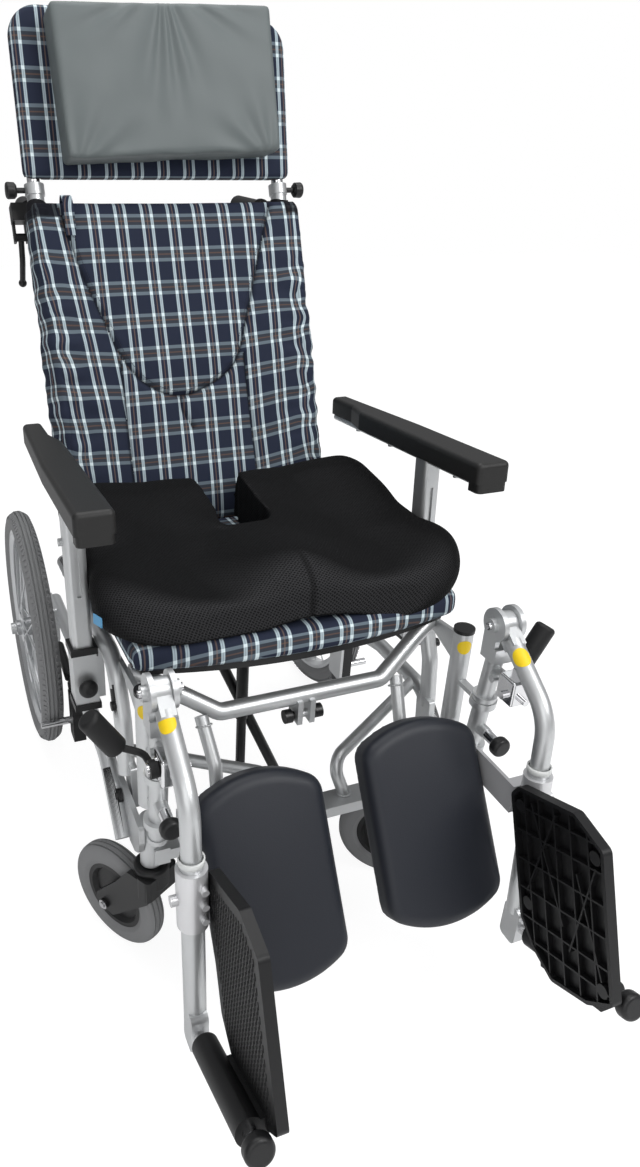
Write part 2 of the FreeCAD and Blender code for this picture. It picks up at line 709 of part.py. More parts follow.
def arm_socket(side, sign):
    wall_t = size("socket_wall")
    sheet_wide = "Sizes.arm_post_wide + 2 * Sizes.socket_wall"
    sheet_deep = "Sizes.arm_post_deep + 2 * Sizes.socket_wall"
    tall = "Sizes.socket_high - Sizes.socket_low"
    shell = bind(doc.addObject("Part::Box", "socket_shell_" + side), Length=sheet_wide, Width=sheet_deep, Height=tall)
    wide = size("arm_post_wide") + 2 * wall_t
    deep = size("arm_post_deep") + 2 * wall_t
    low, high = size("socket_low") - ARM_REF_Z, size("socket_high") - ARM_REF_Z
    shell.Placement.Base = Vector(-wide / 2, -deep / 2, low)
    pieces = [shell]
    lip = " + %g" % (2 * COLLAR_LIP)
    for name, base in (("upper", high - 1), ("lower", low - size("collar_high") + 1)):
        collar = bind(doc.addObject("Part::Box", "socket_%s_%s" % (name, side)), Length=sheet_wide + lip,
                      Width=sheet_deep + lip, Height="Sizes.collar_high")
        collar.Placement.Base = Vector(-wide / 2 - COLLAR_LIP, -deep / 2 - COLLAR_LIP, base)
        pieces.append(collar)
    fuse = doc.addObject("Part::MultiFuse", "socket_body_" + side)
    fuse.Shapes = pieces
    way = bind(doc.addObject("Part::Box", "socket_way_" + side), Length="Sizes.arm_post_wide + 0.2",
               Width="Sizes.arm_post_deep + 0.2", Height=tall + " + 60")
    way.Placement.Base = Vector(-(wide - 2 * wall_t) / 2 - 0.1, -(deep - 2 * wall_t) / 2 - 0.1, low - 30)
    cut = doc.addObject("Part::Cut", "arm_socket_cut_" + side)
    cut.Base, cut.Tool = fuse, way
    return keep(cut, "arm_socket_" + side, arm_place(sign))


def arm_post(sign):
    # local frame of the socket: Z along the post
    wide, deep = size("arm_post_wide"), size("arm_post_deep")
    post = block((-wide / 2, -deep / 2, -34), (wide / 2, deep / 2, 244))
    post = post.makeFillet(6, [e for e in post.Edges if abs(e.tangentAt(e.FirstParameter).z) > 0.9])
    slot = block((-2.5, -deep / 2 - 1, 120), (2.5, -deep / 2 + 3, 205))
    post = post.cut(slot)
    rail = block((-11, -112, 240), (11, 268, 250))
    rail = rail.makeFillet(4.5, [e for e in rail.Edges if abs(e.tangentAt(e.FirstParameter).y) > 0.9])
    bolt = rod(Vector(sign * 12, 4, 190), Vector(sign * 18, 4, 190), 5)
    screws = [rod(Vector(0, y, 236), Vector(0, y, 241), 5) for y in (-70, 100, 200)]
    return joined([post, rail, bolt] + screws)


def arm_pad(sign):
    # outline in plan: narrow at the rear, stepped wider on the inner side toward the front
    outer = 15.0
    rear_in, front_in = -13.0, -24.0
    wide_out, nose = outer + 8, -148.0
    outline = [(outer, 276), (rear_in, 276), (rear_in, 205), (front_in, 160), (front_in, nose), (wide_out, nose),
               (wide_out, 60)]
    points = [Vector(sign * x, y, 250) for x, y in outline]
    face = Part.Face(Part.makePolygon(points + [points[0]]))
    solid = face.extrude(Vector(0, 0, size("arm_pad_thick")))
    upright = [e for e in solid.Edges if abs(e.tangentAt(e.FirstParameter).z) > 0.9]
    solid = solid.makeFillet(7, upright)
    lip_low = 238.0
    lip = block((min(sign * front_in, sign * wide_out) + 2, nose, lip_low),
                (max(sign * front_in, sign * wide_out) - 2, nose + 26, 256))
    lip = lip.makeFillet(7, [e for e in lip.Edges if abs(e.tangentAt(e.FirstParameter).z) > 0.9])
    solid = solid.fuse(lip).removeSplitter()
    top = [e for e in solid.Edges if e.BoundBox.ZMin > 250 + size("arm_pad_thick") - 0.01]
    return solid.makeFillet(7, top)


knob_outline = [(0, 0), (4.4, 0), (4.4, 5), (9, 5), (12, 8), ((12.4, 12), (9, 16)), (5, 17.6), (0, 17.6)]
arm_knobs = []
for side, sign in SIDES.items():
    arm_socket(side, sign)
    keep_shape("arm_post_" + side, arm_post(sign), arm_place(sign))
    keep_shape("arm_pad_" + side, arm_pad(sign), arm_place(sign))
    face_y = -(size("arm_post_deep") / 2 + size("socket_wall"))
    local = Placement(Vector(0, face_y, -4), Rotation(Vector(0, 0, 1), Vector(0, -1, 0)))
    knob = turned_body("arm_knob_body_" + side, knob_outline, arm_place(sign).multiply(local))
    del nodes["arm_knob_body_" + side]
    arm_knobs.append(knob)
knob_pair = doc.addObject("Part::Compound", "arm_knob_pair")
knob_pair.Links = arm_knobs
keep(knob_pair, "arm_knobs", Placement())

# Back: local frame with Z up along the back tubes and Y to the rear

BACK = Placement(AXLE.multVec(Vector(0, pivot_y, pivot_z)), Rotation(Vector(1, 0, 0), -size("back_lean")))
back_x = size("back_x")
HANDLE_AT = size("back_length") - size("handle_drop")
LEVER_OUT = 20.0
POST_BORE = size("head_post_dia") / 2 + 0.05
level = Rotation(Vector(1, 0, 0), size("back_lean"))


def from_level(y, z):
    # a point given level with the floor from the handle root, in back coordinates
    return level.multVec(Vector(0, y, z)) + Vector(0, 0, HANDLE_AT)


def back_frame():
    pieces = []
    long = size("back_length")
    for sign in (1, -1):
        x = sign * back_x
        tube_solid = Part.makeCylinder(tube["main"] / 2, long + 14, Vector(x, 0, -14))
        pieces.append(tube_solid)
        root, bend_at, end = from_level(0, 0), from_level(60, 18), from_level(187, 20)
        inward = sign * (back_x - 6)
        handle = bent_tube([(x, root.y, root.z), (x, bend_at.y, bend_at.z), (inward, end.y, end.z)], 30, tube["mid"])
        pieces.append(handle)
        collar = Part.makeCylinder(tube["main"] / 2 + 2, 16, Vector(x, 0, long - 16))
        pieces.append(collar)
        mid = from_level(66, 18)
        low_x, high_x = sorted((sign * (back_x - 14), sign * (back_x + LEVER_OUT + 12)))
        pieces.append(block((low_x, mid.y - 13, mid.z - 13), (high_x, mid.y + 13, mid.z + 13)))
    for height, dia in ((70, tube["mid"]), (300, tube["thin"]), (470, tube["thin"])):
        pieces.append(rod(Vector(-back_x, 0, height), Vector(back_x, 0, height), dia / 2))
    solid = joined(pieces)
    for sign in (1, -1):
        x = sign * back_x
        solid = solid.cut(Part.makeCylinder(POST_BORE, 180, Vector(x, 0, long - 170)))
        solid = solid.cut(rod(Vector(x - 30, 0, 0), Vector(x + 30, 0, 0), 6.05))
    return solid


keep_shape("back_frame", back_frame(), BACK)

UPHOLSTERY_BACK = -tube["main"] / 2 - 0.2
UPHOLSTERY_LOW = 60.0
UPHOLSTERY_HIGH = size("back_length") - UPHOLSTERY_LOW - size("upholstery_top_gap")
WING_THICK = 4.4


def upholstery():
    half_wide, high, thick = size("upholstery_half"), UPHOLSTERY_HIGH, size("upholstery_thick")
    stations = ((0.0, 0.93, 0.45), (0.012, 0.955, 0.72), (0.04, 0.975, 0.92), (0.2, 0.965, 1.0), (0.45, 0.955, 1.0),
                (0.62, 0.985, 0.98), (0.8, 1.0, 0.92), (0.95, 1.0, 0.84), (0.985, 0.995, 0.66), (1.0, 0.98, 0.4))
    sections = []
    for share, wide, scale in stations:
        z = UPHOLSTERY_LOW + share * high
        middle = UPHOLSTERY_BACK - thick / 2
        outline = round_section(half_wide * wide, middle - scale * thick / 2, middle + scale * thick / 2, 6)
        hollow_share = 0.22 * thick
        sections.append([(x, y + (hollow_share * (1 - (x / half_wide) ** 2) if y < middle else 0), z)
                         for x, y in outline])
    solid = soft_loft(sections)
    wing_in = back_x + tube["main"] / 2 + 0.4
    for sign in (1, -1):
        wing = side_block(sign, wing_in, wing_in + WING_THICK, UPHOLSTERY_BACK - 16, tube["main"] / 2,
                          UPHOLSTERY_LOW + 12, UPHOLSTERY_LOW + high - 8)
        uprights = [e for e in wing.Edges if abs(e.tangentAt(e.FirstParameter).z) > 0.9]
        wing = wing.makeFillet(1.5, uprights)
        solid = solid.fuse(wing)
    return solid


keep_shape("back_upholstery", upholstery(), BACK)

grip_r = size("grip_dia") / 2
grip_bore = tube["mid"] / 2 + 0.05
grip_long = size("grip_length")
grip_outline = [(grip_bore, 0), (grip_r + 3, 0), (grip_r + 3, 4), (grip_r, 6), (grip_r, grip_long - 8),
                ((grip_r - 2.3, grip_long - 2.3), (grip_r - 8, grip_long)), (0, grip_long), (0, grip_long - 5),
                (grip_bore, grip_long - 5)]


LEVER_PIN = from_level(62, -16)


def hand_lever(sign):
    # blade hanging from the clamp beside the handle
    x = sign * (back_x + LEVER_OUT)
    knuckle = rod(Vector(x - 7, LEVER_PIN.y, LEVER_PIN.z), Vector(x + 7, LEVER_PIN.y, LEVER_PIN.z), 6)
    middle, tip = from_level(66, -52), from_level(86, -88)
    blade = bent_tube([(x, LEVER_PIN.y, LEVER_PIN.z), (x, middle.y, middle.z), (x, tip.y, tip.z)], 30, 9)
    ball = Part.makeSphere(6.5, Vector(x, tip.y, tip.z))
    solid = joined([knuckle, blade, ball])
    return solid.cut(rod(Vector(x - 20, LEVER_PIN.y, LEVER_PIN.z), Vector(x + 20, LEVER_PIN.y, LEVER_PIN.z), 3.05))


for side, sign in SIDES.items():
    bend_at, end = from_level(60, 18), from_level(187, 20)
    start = Vector(sign * back_x, bend_at.y, bend_at.z)
    finish = Vector(sign * (back_x - 6), end.y, end.z)
    run = finish - start
    run.normalize()
    root = finish - run * (grip_long - 5.05)
    local = Placement(root, Rotation(Vector(0, 0, 1), run))
    turned_body("handle_grip_" + side, grip_outline, BACK.multiply(local))
    keep_shape("hand_lever_" + side, hand_lever(sign), BACK)


def lever_clevis():
    # two cheeks and a pin per handle, welded to the clamp blocks
    pieces = []
    for sign in (1, -1):
        x = sign * (back_x + LEVER_OUT)
        top = from_level(62, 8)
        for cheek in (-1, 1):
            low = min(cheek * 7.3, cheek * 11)
            pieces.append(block((x + low, LEVER_PIN.y - 7, LEVER_PIN.z - 8), (x + low + 3.7, LEVER_PIN.y + 7, top.z)))
        pieces.append(rod(Vector(x - 11, LEVER_PIN.y, LEVER_PIN.z), Vector(x + 11, LEVER_PIN.y, LEVER_PIN.z), 3))
    return pieces


frame_obj = nodes["back_frame"]
frame_obj.Shape = back_frame().multiFuse(lever_clevis()).removeSplitter()
frame_obj.Placement = BACK

# Headrest, sliding along the back tubes

HEAD_AT = size("back_length") + 3
head_root = BACK.multVec(Vector(0, 0, HEAD_AT))
HEAD = Placement(head_root, Rotation(Vector(1, 0, 0), -size("head_lean")))
POST_INTO_PANEL = 60.0


def head_post(sign):
    # one bent rod: the lower run slides in the back tube, the upper run fits the panel
    x = sign * back_x
    knee = head_root
    foot = BACK.multVec(Vector(0, 0, HEAD_AT - 140))
    tip = HEAD.multVec(Vector(0, 0, POST_INTO_PANEL))
    points = [(x, p.y, p.z) for p in (foot, knee, tip)]
    return bent_tube(points, 30, size("head_post_dia"))


keep_shape("head_posts", Part.makeCompound([head_post(sign) for sign in SIDES.values()]), Placement())

PANEL_LOW = 4.0
PANEL_FRONT = -20.0


def head_panel():
    half_wide, high, thick = size("head_half"), size("head_high"), size("head_thick")
    solid = block((-half_wide, PANEL_FRONT, PANEL_LOW), (half_wide, PANEL_FRONT + thick, PANEL_LOW + high))
    through = [e for e in solid.Edges if abs(e.tangentAt(e.FirstParameter).y) > 0.9]
    solid = solid.makeFillet(size("head_corner"), [e for e in through if e.CenterOfMass.z > PANEL_LOW + high / 2])
    through = [e for e in solid.Edges if e.Length < thick + 1 and e.BoundBox.ZMax < PANEL_LOW + 1]
    solid = solid.makeFillet(size("head_corner") / 4, through)
    rims = [e for e in solid.Edges if abs(e.BoundBox.YMax - e.BoundBox.YMin) < 0.01]
    solid = solid.makeFillet(size("head_rim"), rims)
    for sign in (1, -1):
        solid = solid.cut(Part.makeCylinder(size("head_post_dia") / 2 + 0.1, POST_INTO_PANEL + 2,
                                            Vector(sign * back_x, 0, -1)))
    return solid


def pillow():
    half_wide, high, thick = size("pillow_wide") / 2, size("pillow_high"), size("pillow_thick")
    low = PANEL_LOW + 22
    back = PANEL_FRONT - 1.0
    stations = ((0.0, 0.90, 0.5), (0.015, 0.935, 0.7), (0.06, 0.96, 0.92), (0.25, 0.975, 1.0), (0.6, 0.99, 1.0),
                (0.9, 1.0, 0.96), (0.97, 0.995, 0.8), (1.0, 0.97, 0.5))
    sections = []
    for share, wide, scale in stations:
        middle = back - thick / 2
        outline = round_section(half_wide * wide, middle - scale * thick / 2, middle + scale * thick / 2, 5)
        sections.append([(x, y, low + share * high) for x, y in outline])
    behind = block((-400, PANEL_FRONT - 0.3, -100), (400, 100, 400))
    return soft_loft(sections).cut(behind)


keep_shape("head_panel", head_panel(), HEAD)
keep_shape("head_pillow", pillow(), HEAD)

clamp_outline = [(0, 0), (4, 0), (4, 12), (8, 12), (11.5, 15), (12, 24), ((10.5, 27), (7, 27.5)), (0, 27.5)]
clamp_knobs = []
for side, sign in SIDES.items():
    knob_start = sign * (back_x + tube["main"] / 2 + 2)
    local = Placement(Vector(knob_start, 0, size("back_length") - 8), Rotation(Vector(0, 0, 1), Vector(sign, 0, 0)))
    knob = turned_body("head_knob_body_" + side, clamp_outline, BACK.multiply(local))
    del nodes["head_knob_body_" + side]
    clamp_knobs.append(knob)
clamp_pair = doc.addObject("Part::Compound", "head_knob_pair")
clamp_pair.Links = clamp_knobs
keep(clamp_pair, "head_knobs", Placement())

# Legrests

leg_x = size("leg_x")
elbow = Vector(0, size("elbow_y"), size("elbow_z"))
leg_low = Vector(0, size("leg_low_y"), size("leg_low_z"))
leg_axis = (leg_low - elbow).normalize()
CHEEK_IN, CHEEK_OUT = 9.0, 15.0
TONGUE_HALF = 8.6
PIVOT_R = 5.0


def on_leg(sign, z):
    share = (z - elbow.z) / (leg_low.z - elbow.z)
    point = elbow + (leg_low - elbow) * share
    return Vector(sign * leg_x, point.y, z)


LOCK_Z = 404.0


def hanger_post(sign):
    x = sign * leg_x
    low = post_point(sign, POST_LOW)
    post = rod(low, post_point(sign, hang_z - 34), tube["mid"] / 2)
    cap = Part.makeCylinder(12.5, 7, post_point(sign, POST_LOW - 5), post_axis)
    stop = Part.makeCylinder(15.5, 7, post_point(sign, LUG_LEVELS[1] + LUG_HIGH + 0.5), post_axis)
    pieces = [post, cap, stop]
    crown = block((x - CHEEK_OUT, hang_y - 12, hang_z - 50), (x + CHEEK_OUT, hang_y + 16, hang_z - 30))
    pieces.append(crown)
    for cheek in (-1, 1):
        low_x = min(cheek * CHEEK_IN, cheek * CHEEK_OUT)
        start = Vector(x + low_x, hang_y, hang_z)
        disc = Part.makeCylinder(21, CHEEK_OUT - CHEEK_IN, start, Vector(1, 0, 0))
        web = block((x + low_x, hang_y - 8, hang_z - 50), (x + low_x + CHEEK_OUT - CHEEK_IN, hang_y + 16, hang_z))
        boss = rod(Vector(x + cheek * CHEEK_OUT, hang_y, hang_z), Vector(x + cheek * (CHEEK_OUT + 6), hang_y, hang_z), 9)
        pieces += [disc, web, boss]
    pieces.append(rod(Vector(x - 20, hang_y, hang_z), Vector(x + 20, hang_y, hang_z), PIVOT_R))
    arm_z = LOCK_Z
    root = post_point(sign, arm_z)
    pieces.append(rod(root, Vector(x, root.y - 32, arm_z), 8))
    pieces.append(rod(Vector(x - 16, root.y - 20, arm_z), Vector(x + 16, root.y - 20, arm_z), 5))
    stop_block = block((x - 15, root.y - 60, arm_z - 17), (x + 15, root.y - 30, arm_z + 17))
    pieces.append(stop_block.makeFillet(3, stop_block.Edges))
    pieces.append(rod(Vector(x - sign * 20, root.y - 46, arm_z - 6), Vector(x, root.y - 46, arm_z - 6), 5))
    pieces.append(rod(Vector(x, root.y - 58, arm_z - 8), Vector(x, root.y - 68, arm_z - 8), 4))
    lock_y = root.y - 45
    pieces.append(rod(Vector(x + sign * 12, lock_y, arm_z), Vector(x + sign * 27, lock_y, arm_z), 4))
    pieces.append(rod(Vector(x + sign * 24.6, lock_y, arm_z), Vector(x + sign * 27, lock_y, arm_z), 7))
    stub = post_point(sign, 311)
    pieces.append(rod(stub, Vector(x, stub.y - 23, 311), 8))
    solid = joined(pieces)
    return solid.cut(rod(Vector(x, stub.y - 4, 311), Vector(x, stub.y - 30, 311), 4.05))


def plunger(sign):
    stub = post_point(sign, 311)
    x, y = sign * leg_x, stub.y
    pin = rod(Vector(x, y - 14, 311), Vector(x, y - 30, 311), 4)
    sleeve = rod(Vector(x, y - 23.4, 311), Vector(x, y - 44, 311), 7)
    ball = Part.makeCylinder(13, 14, Vector(x, y - 42, 311), Vector(0, -1, 0))
    ball = ball.makeFillet(5, [e for e in ball.Edges if e.Closed and e.Length > 60])
    return joined([pin, sleeve, ball])


TUBE_FOOT = 150.0


def hanger_tube(sign):
    x = sign * leg_x
    foot = on_leg(sign, TUBE_FOOT)
    toward = Vector(0, elbow.y - hang_y, elbow.z - hang_z).normalize()
    start = Vector(x, hang_y, hang_z) + toward * 26
    arm = bent_tube([tuple(start), (x, elbow.y, elbow.z), tuple(foot)], 62, tube["mid"])
    neck = Part.makeCylinder(11.5, 10, start - toward * 2, toward)
    knuckle = Part.makeCylinder(15, 2 * TONGUE_HALF, Vector(x - TONGUE_HALF, hang_y, hang_z), Vector(1, 0, 0))
    tongue = Part.makeBox(2 * TONGUE_HALF, 22, 40, Vector(-TONGUE_HALF, -11, 0))
    tongue.Placement = Placement(Vector(x, hang_y, hang_z), Rotation(Vector(0, 0, 1), toward))
    tongue = tongue.common(Part.makeCylinder(34, 60, Vector(x - 30, hang_y, hang_z), Vector(1, 0, 0)))
    solid = joined([arm, neck, knuckle, tongue])
    return solid.cut(rod(Vector(x - 40, hang_y, hang_z), Vector(x + 40, hang_y, hang_z), PIVOT_R + 0.05))


LEG_OUT = tube["main"] / 2
LEG_BORE = tube["mid"] / 2 + 0.05
rod_dir = Vector(0, -math.cos(math.radians(size("rod_rise"))), math.sin(math.radians(size("rod_rise"))))
rod_up = Vector(0, math.sin(math.radians(size("rod_rise"))), math.cos(math.radians(size("rod_rise"))))
ROD_ROOT_Y, ROD_ROOT_Z = -758.0, 100.0


def rod_root(sign):
    return Vector(sign * leg_x, ROD_ROOT_Y, ROD_ROOT_Z)


def leg_tube(sign):
    top = on_leg(sign, size("leg_top_z"))
    foot = on_leg(sign, 118)
    outer_tube = rod(top, foot, LEG_OUT)
    bore = rod(top - leg_axis * 2, on_leg(sign, 122), LEG_BORE)
    lug = block((sign * leg_x - 10, -764, 74), (sign * leg_x + 10, -736, 130))
    lug = lug.makeFillet(8, [e for e in lug.Edges if abs(e.tangentAt(e.FirstParameter).x) > 0.9])
    hole = rod(rod_root(sign) - rod_dir * 40, rod_root(sign) + rod_dir * 40, size("rod_dia") / 2 + 0.02)
    return joined([outer_tube.cut(bore), lug]).cut(hole)


CLAMP_LOW, CLAMP_HIGH = 250.0, 324.0


def calf_frame(sign):
    lift = size("calf_stagger") * sign
    lean_deg = size("calf_lean")
    centre = Vector(sign * size("calf_x") + size("calf_shift"), -696, 238 + lift)
    return Placement(centre, Rotation(Vector(1, 0, 0), -lean_deg))


def calf_pad():
    # local frame: X across, Z up the pad, Y to its back
    half_wide, half_high, arch = size("calf_wide") / 2, size("calf_high") / 2, 26.0
    thick = size("calf_thick")
    corners = [Vector(-half_wide, 0, -half_high + arch), Vector(half_wide, 0, -half_high + arch),
               Vector(half_wide, 0, half_high - arch), Vector(-half_wide, 0, half_high - arch)]
    edges = [Part.Arc(corners[0], Vector(0, 0, -half_high), corners[1]).toShape(), Part.makeLine(corners[1], corners[2]),
             Part.Arc(corners[2], Vector(0, 0, half_high), corners[3]).toShape(), Part.makeLine(corners[3], corners[0])]
    solid = Part.Face(Part.Wire(edges)).extrude(Vector(0, thick, 0))
    upright = [e for e in solid.Edges if e.Length < thick + 1 and abs(e.tangentAt(e.FirstParameter).y) > 0.9]
    solid = solid.makeFillet(26, upright)
    front = [e for e in solid.Edges if e.BoundBox.YMax < 0.01]
    return solid.makeFillet(15, front)


ARM_IN, ARM_OUT = 192.5, 197.0


def calf_bracket(sign):
    # sleeve on the leg tube, a link behind it, a side arm and a strap along the back of the pad
    x = sign * leg_x
    sleeve = rod(on_leg(sign, CLAMP_LOW), on_leg(sign, CLAMP_HIGH), 17)
    mid = on_leg(sign, 282)
    link = side_block(sign, ARM_IN, leg_x + 8, mid.y + 14, mid.y + 29, 262, 302)
    local = calf_frame(sign)
    back = size("calf_thick") + 0.2
    pad_edge = abs(local.Base.x) + size("calf_wide") / 2
    reach = [sign * (pad_edge - 128 - abs(local.Base.x)), sign * (ARM_IN + 2 - abs(local.Base.x))]
    strap = block((min(reach), back, 20), (max(reach), back + 4, 68))
    strap.Placement = local
    strap_back = max(v.Y for v in strap.Vertexes)
    arm = side_block(sign, ARM_IN, ARM_OUT, mid.y + 14, strap_back, 262, 302)
    screws = []
    for z in (268, 287, 306):
        point = on_leg(sign, z)
        screws.append(rod(Vector(x - sign * 8, point.y - 21, z), Vector(x - sign * 8, point.y - 8, z), 4))
    bolt = rod(Vector(x + sign * 14, mid.y, 287), Vector(x + sign * 24, mid.y, 287), 6)
    solid = joined([sleeve, link, arm, strap, bolt] + screws)
    return solid.cut(rod(on_leg(sign, CLAMP_LOW - 5), on_leg(sign, CLAMP_HIGH + 5), LEG_OUT + 0.05))


CAP_R = 15.5


def foot_rod(sign):
    root = rod_root(sign)
    bar_solid = rod(root - rod_dir * 12, root + rod_dir * (size("rod_length") + 8), size("rod_dia") / 2)
    cap = Part.makeCylinder(CAP_R, 16, root + rod_dir * size("rod_length"), rod_dir)
    cap = cap.makeFillet(5, [e for e in cap.Edges if e.Closed and e.Length > 90])
    return bar_solid.fuse(cap)


BARREL_FROM, BARREL_TO = 24.0, 160.0
PLATE_SPAN = ((44.0, 44.0), (44.0, 198.0), (58.0, 210.0), (150.0, 210.0), (190.0, 182.0), (190.0, 10.0),
              (150.0, -9.0), (92.0, -14.0), (62.0, 12.0))
RIB = 2.2


def footplate(sign):
    # local frame: X inwards from the rod axis, Y along the rod, Z up the folded plate
    outer_face, inner_face = 17.0, 17.0 + size("plate_thick")
    points = [Vector(outer_face, t, h) for t, h in PLATE_SPAN]
    face = Part.Face(Part.makePolygon(points + [points[0]]))
    plate = face.extrude(Vector(size("plate_thick"), 0, 0))
    corners = [e for e in plate.Edges if abs(e.tangentAt(e.FirstParameter).x) > 0.9]
    plate = plate.makeFillet(9, corners)
    core = Part.Face(Part.makePolygon(points + [points[0]])).makeOffset2D(-4.5)
    pocket = core.extrude(Vector(size("plate_thick"), 0, 0))
    pocket.translate(Vector(4.5, 0, 0))
    ribs = []
    for t in (66, 90, 115, 140, 166):
        ribs.append(block((outer_face, t - RIB / 2, -30), (inner_face - 1, t + RIB / 2, 230)))
    for h in (20, 48, 84, 120, 156, 186):
        ribs.append(block((outer_face, 20, h - RIB / 2), (inner_face - 1, 215, h + RIB / 2)))
    for t, h in ((58, 186), (176, 170), (58, 66), (174, 20)):
        ribs.append(Part.makeCylinder(8, size("plate_thick") - 1, Vector(outer_face, t, h), Vector(1, 0, 0)))
    for start, end in (
            ((78, 196), (118, 66)), ((118, 196), (60, 84)), ((176, 158), (126, 40)), ((146, 140), (174, 30))):
        first, second = Vector(outer_face, *start), Vector(outer_face, *end)
        along = second - first
        bar_solid = Part.makeBox(size("plate_thick") - 1, RIB, along.Length, Vector(0, -RIB / 2, 0))
        turn = math.degrees(math.atan2(-along.y, along.z))
        bar_solid.Placement = Placement(first, Rotation(Vector(1, 0, 0), turn))
        ribs.append(bar_solid)
    lattice = joined(ribs).common(pocket)
    outline = plate
    plate = plate.cut(pocket).fuse(lattice)
    barrel = Part.makeCylinder(size("barrel_dia") / 2, BARREL_TO - BARREL_FROM, Vector(0, BARREL_FROM, 0),
                               Vector(0, 1, 0))
    web = block((6, BARREL_FROM + 10, -15), (outer_face + 2, BARREL_TO, 9))
    web = web.cut(block((0, 0, -40), (60, 62, 12)))
    # the barrel with its web is a moulding of its own, face to face with the plate
    hinge = barrel.fuse(web).cut(outline)
    hinge = hinge.cut(Part.makeCylinder(size("rod_dia") / 2 + 0.05, 300, Vector(0, -20, 0), Vector(0, 1, 0)))
    solid = Part.makeCompound([plate, hinge])
    if sign > 0:
        solid = solid.mirror(Vector(0, 0, 0), Vector(1, 0, 0))
    return solid


def rod_frame(sign):
    # local Y along the rod, local Z up the folded plate, local X kept along the chair's X
    matrix = FreeCAD.Matrix(-1, 0, 0, 0, 0, rod_dir.y, rod_up.y, 0, 0, rod_dir.z, rod_up.z, 0, 0, 0, 0, 1)
    turn = Rotation(matrix)
    return Placement(AXLE.multVec(rod_root(sign)), turn)


for side, sign in SIDES.items():
    keep_shape("hanger_post_" + side, hanger_post(sign))
    keep_shape("leg_plunger_" + side, plunger(sign))
    keep_shape("hanger_tube_" + side, hanger_tube(sign))
    keep_shape("leg_tube_" + side, leg_tube(sign))
    keep_shape("calf_bracket_" + side, calf_bracket(sign))
    keep_shape("calf_pad_" + side, calf_pad(), AXLE.multiply(calf_frame(sign)))
    keep_shape("foot_rod_" + side, foot_rod(sign))
    keep_shape("footplate_" + side, footplate(-sign), rod_frame(sign))


# Legrest lock levers with their black grips, on the side of each stop block

def leg_lever(sign):
    x, z = sign * leg_x, LOCK_Z
    y = post_point(sign, z).y - 45
    hub = rod(Vector(x + sign * 15.4, y, z), Vector(x + sign * 24.2, y, z), 10)
    stem = bent_tube([(x + sign * 20, y + 5, z), (x + sign * 22, y + 30, z - 2), (x + sign * 52, y + 46, z + 4)], 14, 8)
    grip_low = Vector(x + sign * 46, y + 45, z - 2)
    grip_high = Vector(x + sign * 76, y + 49, z + 44)
    grip = rod(grip_low, grip_high, 13)
    grip = grip.makeFillet(5, [e for e in grip.Edges if e.Closed and e.Length > 60])
    solid = joined([hub, stem, grip])
    return solid.cut(rod(Vector(x, y, z), Vector(x + sign * 40, y, z), 4.05))


for side, sign in SIDES.items():
    keep_shape("leg_lever_" + side, leg_lever(sign))

doc.recompute()

bad = []
for label, obj in nodes.items():
    shape = obj.Shape
    if "Invalid" in obj.State or "Error" in obj.State or shape.isNull() or not shape.isValid() or not shape.Solids:
        bad.append((label, obj.State, shape.isNull(), None if shape.isNull() else shape.isValid(), len(shape.Solids)))
if bad:
    raise RuntimeError("these nodes are not sound: %s" % bad)

for label, obj in nodes.items():
    obj.Shape.exportStep("parts/%s.step" % label)
print("nodes", len(nodes))
for label, obj in sorted(nodes.items()):
    box = obj.Shape.BoundBox
    print("%-22s solids %d volume %9.0f  x %6.1f %6.1f  y %6.1f %6.1f  z %6.1f %6.1f" % (
        label, len(obj.Shape.Solids), obj.Shape.Volume, box.XMin, box.XMax, box.YMin, box.YMax, box.ZMin, box.ZMax))
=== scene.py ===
import bmesh
import bpy
import json
import math
import numpy as np
from mathutils import Matrix, Vector, noise


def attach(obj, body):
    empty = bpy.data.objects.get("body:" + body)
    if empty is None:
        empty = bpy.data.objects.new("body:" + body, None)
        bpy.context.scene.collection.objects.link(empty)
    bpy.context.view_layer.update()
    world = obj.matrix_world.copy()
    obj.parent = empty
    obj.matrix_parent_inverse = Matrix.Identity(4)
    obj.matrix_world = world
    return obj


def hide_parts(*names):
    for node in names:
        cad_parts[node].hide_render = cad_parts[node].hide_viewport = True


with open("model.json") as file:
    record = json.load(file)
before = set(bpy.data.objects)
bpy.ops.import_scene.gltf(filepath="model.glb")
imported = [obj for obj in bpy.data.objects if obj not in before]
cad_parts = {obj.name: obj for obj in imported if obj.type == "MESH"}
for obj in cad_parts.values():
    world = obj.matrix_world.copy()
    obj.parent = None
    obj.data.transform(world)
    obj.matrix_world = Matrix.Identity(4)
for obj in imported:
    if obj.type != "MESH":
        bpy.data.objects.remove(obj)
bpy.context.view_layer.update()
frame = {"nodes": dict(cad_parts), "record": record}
nodes = frame["nodes"]
scene = bpy.context.scene
mm = 0.001
sides = {"left": 1, "right": -1}


# Local frames of the seat, back, headrest, calf pads and foot rods, in the row frame

axleY = 352.0  # the rear axle's place along the row
legX = 214.0  # middle of a legrest tube and of its foot rod
receiverX = 212.0  # middle of a legrest receiver and of the caster stem under it
seatLean, backLean, headLean, calfLean, rodLean = 4.3, 21.5, 13.0, 32.0, 21.5


def rowPoint(x, y, z):
    # a point given from the rear axle's foot, in millimetres
    return Vector((x, y + axleY, z)) * mm


def placed(matrix, x, y, z):
    return matrix @ (Vector((x, y, z)) * mm)


def leanFrame(origin, degrees):
    return Matrix.Translation(rowPoint(*origin)) @ Matrix.Rotation(math.radians(-degrees), 4, "X")


